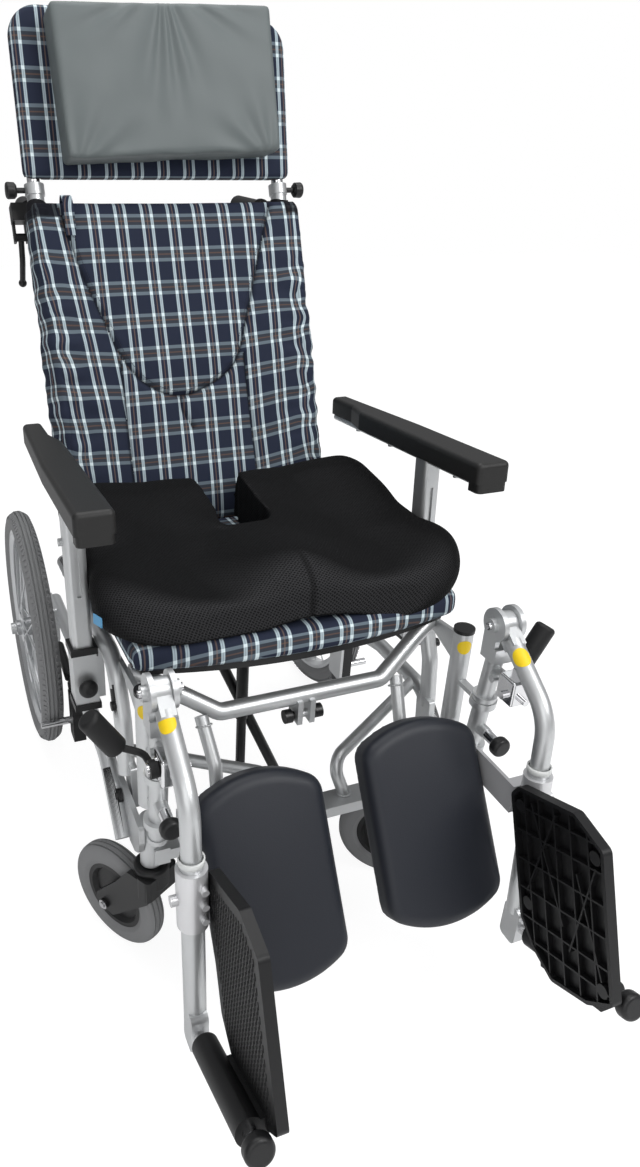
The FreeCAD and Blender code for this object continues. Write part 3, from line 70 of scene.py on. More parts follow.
def rodFrame(sign):
    # X inwards, Y along the foot rod, Z up the folded plate
    lean = math.radians(rodLean)
    along = Vector((0, -math.cos(lean), math.sin(lean)))
    upright = Vector((0, math.sin(lean), math.cos(lean)))
    turn = Matrix((Vector((-sign, 0, 0)), along, upright)).transposed().to_4x4()
    return Matrix.Translation(rowPoint(sign * legX, -758, 100)) @ turn


axleFrame = Matrix.Translation((0, axleY * mm, 0))
seatFrame = leanFrame((0, -300, 411), seatLean)
backFrame = leanFrame((0, -138, 380), backLean)
headRoot = placed(backFrame, 0, 0, 574)
headFrame = Matrix.Translation(headRoot) @ Matrix.Rotation(math.radians(-headLean), 4, "X")
calfFrames = {side: leanFrame((sign * 105 + 6.5, -696, 238 + 11 * sign), calfLean)
              for side, sign in sides.items()}


# Materials

def newMaterial(name):
    mat = bpy.data.materials.new(name)
    mat.use_nodes = True
    tree = mat.node_tree
    return mat, tree, tree.nodes["Principled BSDF"]


def addNode(tree, kind, **values):
    node = tree.nodes.new(kind)
    for key, value in values.items():
        setattr(node, key, value)
    return node


def setInputs(node, **values):
    # input names are given without their spaces
    for socket in node.inputs:
        key = socket.name.replace(" ", "")
        if key in values:
            socket.default_value = values.pop(key)
    return node


def mathNode(tree, operation, first, second=None):
    node = addNode(tree, "ShaderNodeMath", operation=operation)
    for socket, value in zip(node.inputs, (first, second)):
        if value is None:
            continue
        if isinstance(value, (int, float)):
            socket.default_value = value
        else:
            tree.links.new(value, socket)
    return node.outputs[0]


def bumpFrom(tree, shader, height, strength, distance):
    bump = setInputs(addNode(tree, "ShaderNodeBump"), Strength=strength, Distance=distance)
    tree.links.new(height, bump.inputs["Height"])
    tree.links.new(bump.outputs["Normal"], shader.inputs["Normal"])


def noiseNode(tree, scale, detail=3.0):
    coord = addNode(tree, "ShaderNodeTexCoord")
    tex = setInputs(addNode(tree, "ShaderNodeTexNoise"), Scale=scale, Detail=detail)
    tree.links.new(coord.outputs["Object"], tex.inputs["Vector"])
    return tex.outputs["Fac"]


def plainMaterial(name, color, rough, metal=0.0, grain=0.0, grainScale=500.0, gloss=0.5, mottle=0.0):
    mat, tree, shader = newMaterial(name)
    setInputs(shader, BaseColor=(*color, 1), Roughness=rough, Metallic=metal, SpecularIORLevel=gloss)
    if grain:
        bumpFrom(tree, shader, noiseNode(tree, grainScale), grain, 0.0006)
    if mottle:
        spread = addNode(tree, "ShaderNodeMapRange")
        setInputs(spread, ToMin=max(rough - mottle, 0.02), ToMax=min(rough + mottle, 1.0))
        tree.links.new(noiseNode(tree, 22.0, 5.0), spread.inputs["Value"])
        tree.links.new(spread.outputs["Result"], shader.inputs["Roughness"])
    return mat


def bandMask(tree, coord, period, phase, centre, half):
    # 1 inside a bar whose middle lies `centre` from the group's middle, on both sides
    share = mathNode(tree, "ADD", mathNode(tree, "DIVIDE", coord, period), phase)
    away = mathNode(tree, "ABSOLUTE", mathNode(tree, "SUBTRACT", mathNode(tree, "FRACT", share), 0.5))
    offset = mathNode(tree, "SUBTRACT", mathNode(tree, "MULTIPLY", away, period), centre)
    edge = addNode(tree, "ShaderNodeMapRange", interpolation_type="SMOOTHSTEP")
    setInputs(edge, FromMin=half + 0.0004, FromMax=half - 0.0004)
    tree.links.new(mathNode(tree, "ABSOLUTE", offset), edge.inputs["Value"])
    return edge.outputs["Result"]


def layColor(tree, under, over, mask, strength):
    mix = addNode(tree, "ShaderNodeMix", data_type="RGBA")
    tree.links.new(mathNode(tree, "MULTIPLY", mask, strength), mix.inputs[0])
    tree.links.new(under, mix.inputs[6])
    mix.inputs[7].default_value = (*over, 1)
    return mix.outputs[2]


def layGrooveShadeAndCorner(tree, color, shade, strength):
    # mixes in the painted groove shade, and black at the back's top corners, from a point attribute
    crease = addNode(tree, "ShaderNodeAttribute", attribute_name="crease")
    return layColor(tree, color, shade, crease.outputs["Fac"], strength)


plaidSet = {
    "warpPeriod": 0.041, "weftPeriod": 0.049, "ground": (0.016, 0.021, 0.040),
    # the near-black seam colour is painted shade in the seam grooves, and the black under the corner cloths
    "crossing": (0.74, 0.83, 0.85), "crossShare": 0.75, "seam": (0.002, 0.0025, 0.005), "twill": 5200.0,
    # direction, distance from the group's middle, half width, colour, strength
    "bands": [
        ("weft", 0.0, 0.0072, (0.045, 0.052, 0.060), 0.6),
        ("weft", 0.0082, 0.0025, (0.13, 0.165, 0.195), 0.9),
        ("weft", 0.0, 0.0010, (0.13, 0.075, 0.055), 0.6),
        ("warp", 0.0072, 0.0023, (0.48, 0.58, 0.63), 0.78),
        ("warp", 0.0, 0.0009, (0.28, 0.18, 0.13), 0.34),
        ("warp", 0.0072, 0.0004, (0.016, 0.021, 0.040), 0.45),
    ],
    "crossed": (1, 3),  # the two bands that brighten each other where they cross
}


def plaidMaterial(name, warpPhase, weftPhase):
    cfg = plaidSet
    mat, tree, shader = newMaterial(name)
    uv = addNode(tree, "ShaderNodeUVMap", uv_map="cloth")
    split = addNode(tree, "ShaderNodeSeparateXYZ")
    tree.links.new(uv.outputs["UV"], split.inputs[0])
    warp, weft = split.outputs["X"], split.outputs["Y"]
    runs = {"warp": (warp, cfg["warpPeriod"], warpPhase), "weft": (weft, cfg["weftPeriod"], weftPhase)}
    ground = addNode(tree, "ShaderNodeRGB")
    ground.outputs[0].default_value = (*cfg["ground"], 1)
    color, masks = ground.outputs[0], []
    for way, centre, half, tint, strength in cfg["bands"]:
        masks.append(bandMask(tree, *runs[way], centre, half))
        color = layColor(tree, color, tint, masks[-1], strength)
    cross = mathNode(tree, "MULTIPLY", *(masks[index] for index in cfg["crossed"]))
    color = layColor(tree, color, cfg["crossing"], cross, cfg["crossShare"])
    # painted shade along the seam grooves, and black at the top corners
    color = layGrooveShadeAndCorner(tree, color, cfg["seam"], 0.92)
    tree.links.new(color, shader.inputs["Base Color"])
    setInputs(shader, Roughness=0.85, SpecularIORLevel=0.2)
    ribs = [mathNode(tree, "SINE", mathNode(tree, "MULTIPLY", mathNode(tree, way, warp, weft), cfg["twill"]))
            for way in ("ADD", "SUBTRACT")]
    bumpFrom(tree, shader, mathNode(tree, "MULTIPLY", *ribs), 0.18, 0.0004)
    return mat


knitSet = {"scale": 270.0, "bias": 38.0, "loose": 0.3,
           "thread": (0.034, 0.034, 0.036, 1), "hole": (0.0022, 0.0022, 0.0025, 1),
           # the last two colours are painted shade: at a slant to the camera, and in the front groove
           "slanted": (0.0012, 0.0012, 0.0014, 1), "seam": (0.0008, 0.0008, 0.001)}


def knitMaterial(name, cfg):
    # spacer mesh: pale threads round dark holes, with painted shade where it is seen at a slant
    mat, tree, shader = newMaterial(name)
    uv = addNode(tree, "ShaderNodeUVMap", uv_map="cloth")
    bias = addNode(tree, "ShaderNodeMapping")
    bias.inputs["Rotation"].default_value[2] = math.radians(cfg["bias"])
    tree.links.new(uv.outputs["UV"], bias.inputs["Vector"])
    cells = addNode(tree, "ShaderNodeTexVoronoi", feature="DISTANCE_TO_EDGE", voronoi_dimensions="2D")
    setInputs(cells, Scale=cfg["scale"], Randomness=cfg["loose"])
    tree.links.new(bias.outputs["Vector"], cells.inputs["Vector"])
    hole = setInputs(addNode(tree, "ShaderNodeMapRange"), FromMax=0.35)
    tree.links.new(cells.outputs["Distance"], hole.inputs["Value"])
    # painted shade: the colour darkens as the surface turns away from the camera
    slant = setInputs(addNode(tree, "ShaderNodeLayerWeight"), Blend=0.5)
    slantShadeShare = setInputs(addNode(tree, "ShaderNodeMapRange"), FromMin=0.18, FromMax=0.55, ToMin=0.0, ToMax=0.86)
    tree.links.new(slant.outputs["Facing"], slantShadeShare.inputs["Value"])
    knit = addNode(tree, "ShaderNodeMix", data_type="RGBA")
    knit.inputs[6].default_value, knit.inputs[7].default_value = cfg["thread"], cfg["hole"]
    tree.links.new(hole.outputs["Result"], knit.inputs[0])
    shade = addNode(tree, "ShaderNodeMix", data_type="RGBA")
    shade.inputs[7].default_value = cfg["slanted"]
    tree.links.new(slantShadeShare.outputs["Result"], shade.inputs[0])
    tree.links.new(knit.outputs[2], shade.inputs[6])
    # painted shade in the front groove
    tree.links.new(layGrooveShadeAndCorner(tree, shade.outputs[2], cfg["seam"], 0.95), shader.inputs["Base Color"])
    setInputs(shader, Roughness=0.85, SpecularIORLevel=0.12)
    bumpFrom(tree, shader, mathNode(tree, "SUBTRACT", 1.0, hole.outputs["Result"]), 0.55, 0.0010)
    return mat


mats = {
    "frame_silver": plainMaterial("frameSilver", (0.56, 0.57, 0.575), 0.40, 0.80, 0.04, 900.0, mottle=0.05),
    "chrome": plainMaterial("chromePlate", (0.70, 0.70, 0.71), 0.12, 1.0, mottle=0.04),
    "black_plastic": plainMaterial("blackPlastic", (0.006, 0.006, 0.0065), 0.42, 0.0, 0.16, 1400.0, 0.4),
    "black_metal": plainMaterial("blackMetal", (0.006, 0.006, 0.0065), 0.36, gloss=0.45),
    "grip_rubber": plainMaterial("gripRubber", (0.006, 0.006, 0.0065), 0.55, 0.0, 0.12, 1200.0, 0.35),
    "tyre_grey": plainMaterial("tyreGrey", (0.215, 0.217, 0.220), 0.8, 0.0, 0.2, 700.0, 0.3),
    "rim_silver": plainMaterial("rimSilver", (0.52, 0.53, 0.54), 0.28, 0.95),
    "pillow_vinyl": plainMaterial("pillowVinyl", (0.118, 0.136, 0.137), 0.5, 0.0, 0.12, 520.0, 0.35),
    "calf_vinyl": plainMaterial("calfVinyl", (0.0105, 0.0125, 0.0185), 0.48, 0.0, 0.2, 620.0, 0.38),
    "cushion_mesh": knitMaterial("cushionMesh", knitSet),
    "plaid": plaidMaterial("plaidBack", 0.5, 0.2),
}
headPlaid = plaidMaterial("plaidHead", 0.5, 0.62)
padPlaid = plaidMaterial("plaidSeat", 0.5, 0.1)
armMat = plainMaterial("armPadBlack", (0.010, 0.0098, 0.0095), 0.5, 0.0, 0.22, 420.0, 0.4)
plateMat = plainMaterial("footplateBlack", (0.0045, 0.0045, 0.005), 0.45, 0.0, 0.08, 900.0, 0.35)
whiteRing = plainMaterial("ringWhite", (0.62, 0.63, 0.62), 0.5)
yellowDisc = plainMaterial("discYellow", (0.80, 0.56, 0.004), 0.45)
threadMat = plainMaterial("seamThread", (0.010, 0.012, 0.022), 0.8)
bindingMat = plainMaterial("bindingBlack", (0.006, 0.006, 0.008), 0.75, gloss=0.2)
tagMat = plainMaterial("tagBlue", (0.10, 0.32, 0.55), 0.6)
boltMat = plainMaterial("boltSteel", (0.50, 0.50, 0.51), 0.22, 1.0)
bracketMat = plainMaterial("bracketZinc", (0.66, 0.66, 0.67), 0.34, 0.55, mottle=0.06)

ownFinish = {"arm_pad": armMat, "footplate": plateMat, "calf_bracket": bracketMat}
for row in frame["record"]["subparts"]:
    kind = row["node"].rsplit("_", 1)[0]
    finishes = nodes[row["node"]].data.materials
    finishes.clear()
    finishes.append(ownFinish.get(kind, mats[row["material_slot"]]))


def toLocal(points, matrix):
    inverse = np.array(matrix.inverted())
    return (points @ inverse[:3, :3].T + inverse[:3, 3]) / mm


def faceMiddles(mesh, matrix):
    middles = np.empty(len(mesh.polygons) * 3)
    mesh.polygons.foreach_get("center", middles)
    return toLocal(middles.reshape(-1, 3), matrix).T


def between(values, low, high):
    return (values > low) & (values < high)


def paintFaces(nodeName, mat, matrix, test):
    # a second finish on the faces of a solid whose middle passes the test, in the matrix's millimetres
    mesh = nodes[nodeName].data
    chosen = test(*faceMiddles(mesh, matrix))
    finish = np.zeros(len(mesh.polygons), dtype=np.int32)
    mesh.polygons.foreach_get("material_index", finish)
    mesh.materials.append(mat)
    finish[chosen] = len(mesh.materials) - 1
    mesh.polygons.foreach_set("material_index", finish)
    mesh.update()


plastic, blackMetal, chrome = mats["black_plastic"], mats["black_metal"], mats["chrome"]
casterTurn = {"left": 58.0, "right": 30.0}
paintFaces("back_frame", plastic, backFrame, lambda x, y, z: (
    (abs(x) > 182) & between(y, 41.6, 68) & between(z, 532, 560.5))
    | ((abs(x) > 205) & between(y, 55, 72) & between(z, 503, 536)))
paintFaces("seat_cross_tubes", blackMetal, axleFrame, lambda x, y, z: (
    between(abs(x), 12.2, 27) & between(y, -546, -525) & (z < 337)))
for side, sign in sides.items():
    paintFaces("foot_rod_" + side, plastic, rodFrame(sign), lambda x, y, z: y > 171.5)
    paintFaces("seat_rail_" + side, plastic, axleFrame, lambda x, y, z: (
        z > 421.6) | ((abs(x) > 229) & (abs(y + 478) < 8) & (z > 344))
        | ((abs(x) > 225.1) & (abs(y + 138) < 16) & (z < 398)))
    armFrame = leanFrame((sign * 251, -392, 345), seatLean)
    paintFaces("arm_socket_" + side, plastic, armFrame, lambda x, y, z: (z > 39.9) | (z < -31.9))
    paintFaces("leg_plunger_" + side, chrome, axleFrame, lambda x, y, z: y > -653.9)
    paintFaces("brake_unit_" + side, chrome, axleFrame, lambda x, y, z: (abs(x) > 245.2) & (z < 142))
    paintFaces("hanger_post_" + side, chrome, axleFrame, lambda x, y, z: (y < -648) & between(z, 380, 425))
    stem = Matrix.Translation(rowPoint(sign * receiverX, -566, 0))
    stem = stem @ Matrix.Rotation(math.radians(casterTurn[side]), 4, "Z")
    paintFaces("caster_fork_" + side, boltMat, stem, lambda x, y, z: abs(x) > 30.8)
    paintFaces("base_side_" + side, blackMetal, axleFrame, lambda x, y, z: (
        abs(x) > 231.05) & (abs(y + 500) < 10) & (abs(z - 228) < 10))
print("materials set")


# Mesh helpers

def smoothFaces(mesh):
    mesh.polygons.foreach_set("use_smooth", [True] * len(mesh.polygons))


def addObject(name, mesh, mat, smooth=True):
    obj = bpy.data.objects.new(name, mesh)
    scene.collection.objects.link(obj)
    mesh.materials.clear()
    mesh.materials.append(mat)
    if smooth:
        smoothFaces(mesh)
    return obj


def meshFrom(work, name):
    mesh = bpy.data.meshes.new(name)
    work.to_mesh(mesh)
    work.free()
    return mesh


def addPiece(name, work, mat, smooth=True):
    return addObject(name, meshFrom(work, name), mat, smooth)


def cubeWork(sizes):
    work = bmesh.new()
    bmesh.ops.create_cube(work, size=1.0)
    bmesh.ops.scale(work, vec=Vector(sizes) * mm, verts=work.verts)
    return work


def ringAngles(count):
    return [2 * math.pi * step / count for step in range(count)]


def bakeModifiers(obj):
    bpy.context.view_layer.update()
    graph = bpy.context.evaluated_depsgraph_get()
    mesh = bpy.data.meshes.new_from_object(obj.evaluated_get(graph))
    old = obj.data
    obj.modifiers.clear()
    obj.data = mesh
    if old.users == 0:
        bpy.data.meshes.remove(old)


def evenMesh(obj, cfg, wrapOn=None):
    remesh = obj.modifiers.new("even", "REMESH")
    remesh.mode, remesh.voxel_size = "VOXEL", cfg["voxel"] * mm
    if wrapOn is not None:
        wrap = obj.modifiers.new("wrap", "SHRINKWRAP")
        wrap.target, wrap.wrap_method = wrapOn, "NEAREST_SURFACEPOINT"
    ease = obj.modifiers.new("ease", "SMOOTH")
    ease.factor, ease.iterations = 0.5, cfg["smoothing"]
    bakeModifiers(obj)
    smoothFaces(obj.data)
    return obj


def softCopy(name, nodeName, mat, cfg):
    # the soft form of a CAD solid as an even mesh, ready to be creased
    work = bmesh.new()
    work.from_mesh(nodes[nodeName].data)
    bmesh.ops.remove_doubles(work, verts=work.verts, dist=0.00002)
    return evenMesh(addPiece(name, work, mat), cfg, nodes[nodeName])


def softRead(obj, matrix):
    # places in millimetres and normals of a soft piece, in a local frame
    both = []
    for key in ("co", "normal"):
        values = np.empty(len(obj.data.vertices) * 3)
        obj.data.vertices.foreach_get(key, values)
        both.append(values.reshape(-1, 3))
    return toLocal(both[0], matrix), both[1] @ np.array(matrix.inverted())[:3, :3].T


def softWrite(obj, local, matrix):
    full = np.array(matrix)
    points = (local * mm) @ full[:3, :3].T + full[:3, 3]
    obj.data.vertices.foreach_set("co", points.reshape(-1))
    obj.data.update()


def unit(values):
    return np.clip(values, 0, 1)


def ramp(values, low, high):
    # 0 below low, 1 above high; falls where low is the larger
    return unit((values - low) / (high - low))


def loopPoints(mesh):
    loops = np.empty(len(mesh.loops), dtype=np.int64)
    mesh.loops.foreach_get("vertex_index", loops)
    return loops


def writeCloth(obj, corners):
    # cloth coordinates of each face corner, kept in metres
    layer = obj.data.uv_layers.new(name="cloth")
    layer.data.foreach_set("uv", (corners * mm).reshape(-1))


def writeGrooveShadeAndCorner(obj, shade):
    # stores the painted groove shade, with the back's black corners, as a point attribute
    obj.data.attributes.new("crease", "FLOAT", "POINT").data.foreach_set("value", shade)


def clothMap(obj, matrix, level, along):
    # the weft runs along axis 2 on upright panels and axis 1 on the seat; the pattern goes on round the edges
    local, normal = softRead(obj, matrix)
    depth = local[:, 1] - level if along == 2 else level - local[:, 2]
    side, cap = (ramp(np.abs(normal[:, axis]), 0.35, 0.85) for axis in (0, along))
    warp = local[:, 0] + np.sign(local[:, 0]) * depth * side
    weft = local[:, along] + np.sign(normal[:, along]) * depth * cap
    writeCloth(obj, np.stack([warp, weft], -1)[loopPoints(obj.data)])


def polyDistance(across, along, line):
    best = np.full(len(across), 1e9)
    for (ax, az), (bx, bz) in zip(line, line[1:]):
        ex, ez = bx - ax, bz - az
        share = unit(((across - ax) * ex + (along - az) * ez) / (ex * ex + ez * ez))
        best = np.minimum(best, np.hypot(across - ax - share * ex, along - az - share * ez))
    return best


def smoothLine(points, steps=8):
    # a rounder polyline through the given points
    points = [np.array(p, float) for p in points]
    padded = [2 * points[0] - points[1]] + points + [2 * points[-1] - points[-2]]
    out = []
    for a, b, c, d in zip(padded, padded[1:], padded[2:], padded[3:]):
        for step in range(steps):
            t = step / steps
            out.append(0.5 * (2 * b + (c - a) * t + (2 * a - 5 * b + 4 * c - d) * t ** 2
                              + (3 * b - a - 3 * c + d) * t ** 3))
    out.append(points[-1])
    return [tuple(p) for p in out]


def noiseField(across, along, wideX, wideZ, seed):
    return np.array([noise.noise(Vector((x / wideX + seed, z / wideZ - seed, seed)))
                     for x, z in zip(across, along)])


def shellFaces(work, outer, inner, closed):
    # a thin shell between two grids of points, rimmed on its open edges
    columns = len(outer[0])
    pairs = [(j, (j + 1) % columns) for j in range(columns if closed else columns - 1)]
    quads = []
    for i in range(len(outer) - 1):
        for j, k in pairs:
            quads.append((outer[i][j], outer[i][k], outer[i + 1][k], outer[i + 1][j]))
            quads.append((inner[i][j], inner[i + 1][j], inner[i + 1][k], inner[i][k]))
        if not closed:
            quads.append((outer[i][0], outer[i + 1][0], inner[i + 1][0], inner[i][0]))
            quads.append((outer[i][-1], inner[i][-1], inner[i + 1][-1], outer[i + 1][-1]))
    for j, k in pairs:
        quads.append((outer[0][j], inner[0][j], inner[0][k], outer[0][k]))
        quads.append((outer[-1][j], outer[-1][k], inner[-1][k], inner[-1][j]))
    made = [work.faces.new(quad) for quad in quads]
    for face in made:
        face.smooth = True
    bmesh.ops.recalc_face_normals(work, faces=made)


def joinRings(work, rings):
    for first, second in zip(rings, rings[1:]):
        for j in range(len(first)):
            k = (j + 1) % len(first)
            work.faces.new((first[j], first[k], second[k], second[j]))


def tubeCurve(name, points, radius, mat):
    curve = bpy.data.curves.new(name, "CURVE")
    curve.dimensions = "3D"
    curve.bevel_depth, curve.bevel_resolution = radius * mm, 4
    curve.use_fill_caps = True
    spline = curve.splines.new("POLY")
    spline.points.add(len(points) - 1)
    for slot, point in zip(spline.points, points):
        slot.co = (*point, 1)
    temp = bpy.data.objects.new(name + "Curve", curve)
    scene.collection.objects.link(temp)
    bpy.context.view_layer.update()
    mesh = bpy.data.meshes.new_from_object(temp.evaluated_get(bpy.context.evaluated_depsgraph_get()))
    bpy.data.objects.remove(temp)
    bpy.data.curves.remove(curve)
    mesh.name = name
    return addObject(name, mesh, mat)


# Stamps: one small shape set on many points with Geometry Nodes

def stampTree():
    tree = bpy.data.node_groups.new("stampOnPoints", "GeometryNodeTree")
    face = tree.interface
    for name, kind in (("Geometry", "Geometry"), ("Stamp", "Object"), ("Finish", "Material")):
        face.new_socket(name, in_out="INPUT", socket_type="NodeSocket" + kind)
    face.new_socket("Geometry", in_out="OUTPUT", socket_type="NodeSocketGeometry")
    start, end = tree.nodes.new("NodeGroupInput"), tree.nodes.new("NodeGroupOutput")
    info = tree.nodes.new("GeometryNodeObjectInfo")
    turn = addNode(tree, "GeometryNodeInputNamedAttribute", data_type="FLOAT_VECTOR")
    turn.inputs["Name"].default_value = "turn"
    place = tree.nodes.new("GeometryNodeInstanceOnPoints")
    real = tree.nodes.new("GeometryNodeRealizeInstances")
    paint = tree.nodes.new("GeometryNodeSetMaterial")
    for source, output, target, socket in (
            (start, "Geometry", place, "Points"), (start, "Stamp", info, "Object"),
            (info, "Geometry", place, "Instance"), (turn, "Attribute", place, "Rotation"),
            (place, "Instances", real, "Geometry"), (real, "Geometry", paint, "Geometry"),
            (start, "Finish", paint, "Material"), (paint, "Geometry", end, "Geometry")):
        tree.links.new(source.outputs[output], target.inputs[socket])
    return tree


stamps = stampTree()
stampKeys = {item.name: item.identifier for item in stamps.interface.items_tree if item.in_out == "INPUT"}


def stampObject(name, work):
    obj = bpy.data.objects.new(name, meshFrom(work, name))
    scene.collection.objects.link(obj)
    return obj


def boxStamp(name, sizes, rounding):
    work = cubeWork(sizes)
    bmesh.ops.bevel(work, geom=list(work.edges), offset=rounding * mm, segments=2, affect="EDGES",
                    profile=0.5)
    return stampObject(name, work)


def beadShape(name, radius, flat):
    work = bmesh.new()
    bmesh.ops.create_uvsphere(work, u_segments=10, v_segments=6, radius=radius * mm)
    bmesh.ops.scale(work, vec=Vector((1, 1, flat)), verts=work.verts)
    return stampObject(name, work)


def boltStamp(name, radius, high, socket):
    # round head with a sunk socket, its axis along Z
    work = bmesh.new()
    bmesh.ops.create_cone(work, cap_ends=True, segments=24, radius1=radius * mm, radius2=radius * 0.9 * mm,
                          depth=high * mm)
    bmesh.ops.translate(work, vec=Vector((0, 0, high * mm / 2)), verts=work.verts)
    top = max(work.faces, key=lambda f: f.calc_center_median().z)
    bmesh.ops.inset_region(work, faces=[top], thickness=radius * (1 - socket) * mm)
    bmesh.ops.translate(work, vec=Vector((0, 0, -0.55 * high * mm)), verts=list(top.verts))
    return stampObject(name, work)


def stampOn(name, places, stamp, mat, body, smooth=False):
    # places: pairs of a point in row metres and a 3x3 turn
    mesh = bpy.data.meshes.new(name)
    mesh.from_pydata([tuple(point) for point, _ in places], [], [])
    turns = mesh.attributes.new("turn", "FLOAT_VECTOR", "POINT")
    turns.data.foreach_set("vector", [angle for _, turn in places for angle in turn.to_euler()])
    obj = bpy.data.objects.new(name, mesh)
    scene.collection.objects.link(obj)
    mod = obj.modifiers.new("stamp", "NODES")
    mod.node_group = stamps
    mod[stampKeys["Stamp"]] = stamp
    mod[stampKeys["Finish"]] = mat
    bakeModifiers(obj)
    if smooth:
        smoothFaces(obj.data)
    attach(obj, body)
    return obj


def dropStamps(*objs):
    for obj in objs:
        mesh = obj.data
        bpy.data.objects.remove(obj)
        bpy.data.meshes.remove(mesh)


def axisTurn(axis, around=None):
    # a rotation whose Z is the given axis
    z = Vector(axis).normalized()
    if around is None:
        around = (1, 0, 0) if abs(z.x) < 0.9 else (0, 1, 0)
    x = Vector(around)
    x = (x - z * x.dot(z)).normalized()
    return Matrix((x, z.cross(x), z)).transposed()


# Backrest: plaid panel with its shield seam, tail, side seams and gathered wings

backSet = {
    "voxel": 2.6, "smoothing": 2, "front": -48.0,
    "shield": [(-172, 530), (-152, 440), (-128, 370), (-104, 306), (-70, 263), (-20, 243), (34, 258),
               (76, 288), (98, 340), (128, 430), (163, 530)],
    "tail": [(-20, 243), (-17, 218), (-4, 192)],
    "darts": ([(-108, 300), (-109, 212), (-110, 75)], [(92, 300), (93, 210), (95, 75)]),
    "seamDeep": 5.5, "seamWide": 4.2, "puff": 3.0, "gather": 5.1, "slant": 1.3, "sway": 1.6, "pucker": 0.6,
    "hem": 16.0,
    "wing": [(190, -44), (199, -46), (207, -42), (213, -33), (216.5, -20), (217, -6), (215, 6), (209, 13)],
    "wingSpan": (70, 525), "wingSteps": 150, "wingThick": 1.6,
}
backPanel = softCopy("backPanel", "back_upholstery", mats["plaid"], backSet)


def addWings(obj, cfg):
    # gathered cloth round the back tubes, from the front edge to behind the tube
    work = bmesh.new()
    work.from_mesh(obj.data)
    profile = smoothLine(cfg["wing"], 4)
    low, high = cfg["wingSpan"]

    def wingPoint(sign, share, x, y, z, thick):
        loose = math.sin(math.pi * share) * min(1, (z - low) / 40, (high - z) / 60)
        fold = noise.noise(Vector((share * 2.2 + sign * 4, z / 19, 1.7)))
        fold += 0.6 * noise.noise(Vector((share * 3.5, z / 48 + share, 6.1 + sign)))
        narrow = 5.0 * math.exp(-((z - 130) / 120) ** 2)
        grow = loose * (1.5 + 5.0 * fold) - narrow * (1 - share) - thick
        angle = math.pi * 0.62 * share
        return placed(backFrame, sign * (x + grow * math.sin(angle)), y - grow * math.cos(angle), z)

    for sign in (-1, 1):
        skins = []
        for thick in (0.0, cfg["wingThick"]):
            skin = []
            for step in range(cfg["wingSteps"] + 1):
                z = low + (high - low) * step / cfg["wingSteps"]
                skin.append([work.verts.new(wingPoint(sign, count / (len(profile) - 1), x, y, z, thick))
                             for count, (x, y) in enumerate(profile)])
            skins.append(skin)
        shellFaces(work, *skins, closed=False)
    work.to_mesh(obj.data)
    work.free()


def seamDistance(x, z, cfg):
    toShield = polyDistance(x, z, smoothLine(cfg["shield"]))
    lines = [toShield, polyDistance(x, z, smoothLine(cfg["tail"])) * 1.4]
    lines += [polyDistance(x, z, smoothLine(line)) * 1.25 for line in cfg["darts"]]
    return toShield, np.minimum.reduce(lines)


def shapeBack(obj, cfg):
    local, normal = softRead(obj, backFrame)
    x, y, z = local.T
    toShield, nearest = seamDistance(x, z, cfg)
    push = cfg["seamDeep"] * np.exp(-(nearest / cfg["seamWide"]) ** 2)
    push -= cfg["puff"] * (1 - np.exp(-(nearest / 26.0) ** 2))
    wing = ramp(np.abs(x), 118, 178) * ramp(z, 110, 170) * ramp(z, 470, 380)
    push += cfg["gather"] * wing * noiseField(x, z, 60, 20, 3.1)
    push += cfg["slant"] * wing * noiseField(x * 0.7 + z * 0.7, x * 0.7 - z * 0.7, 26, 120, 8.4)
    push += cfg["sway"] * noiseField(x, z, 150, 170, 5.5)
    push += cfg["pucker"] * np.exp(-(toShield / 14) ** 2) * np.sin(z / 3.4 + x / 9.0)
    local[:, 1] += push * unit(-normal[:, 1])
    local[:, 2] -= cfg["hem"] * ramp(z, 112, 62) ** 2
    softWrite(obj, local, backFrame)


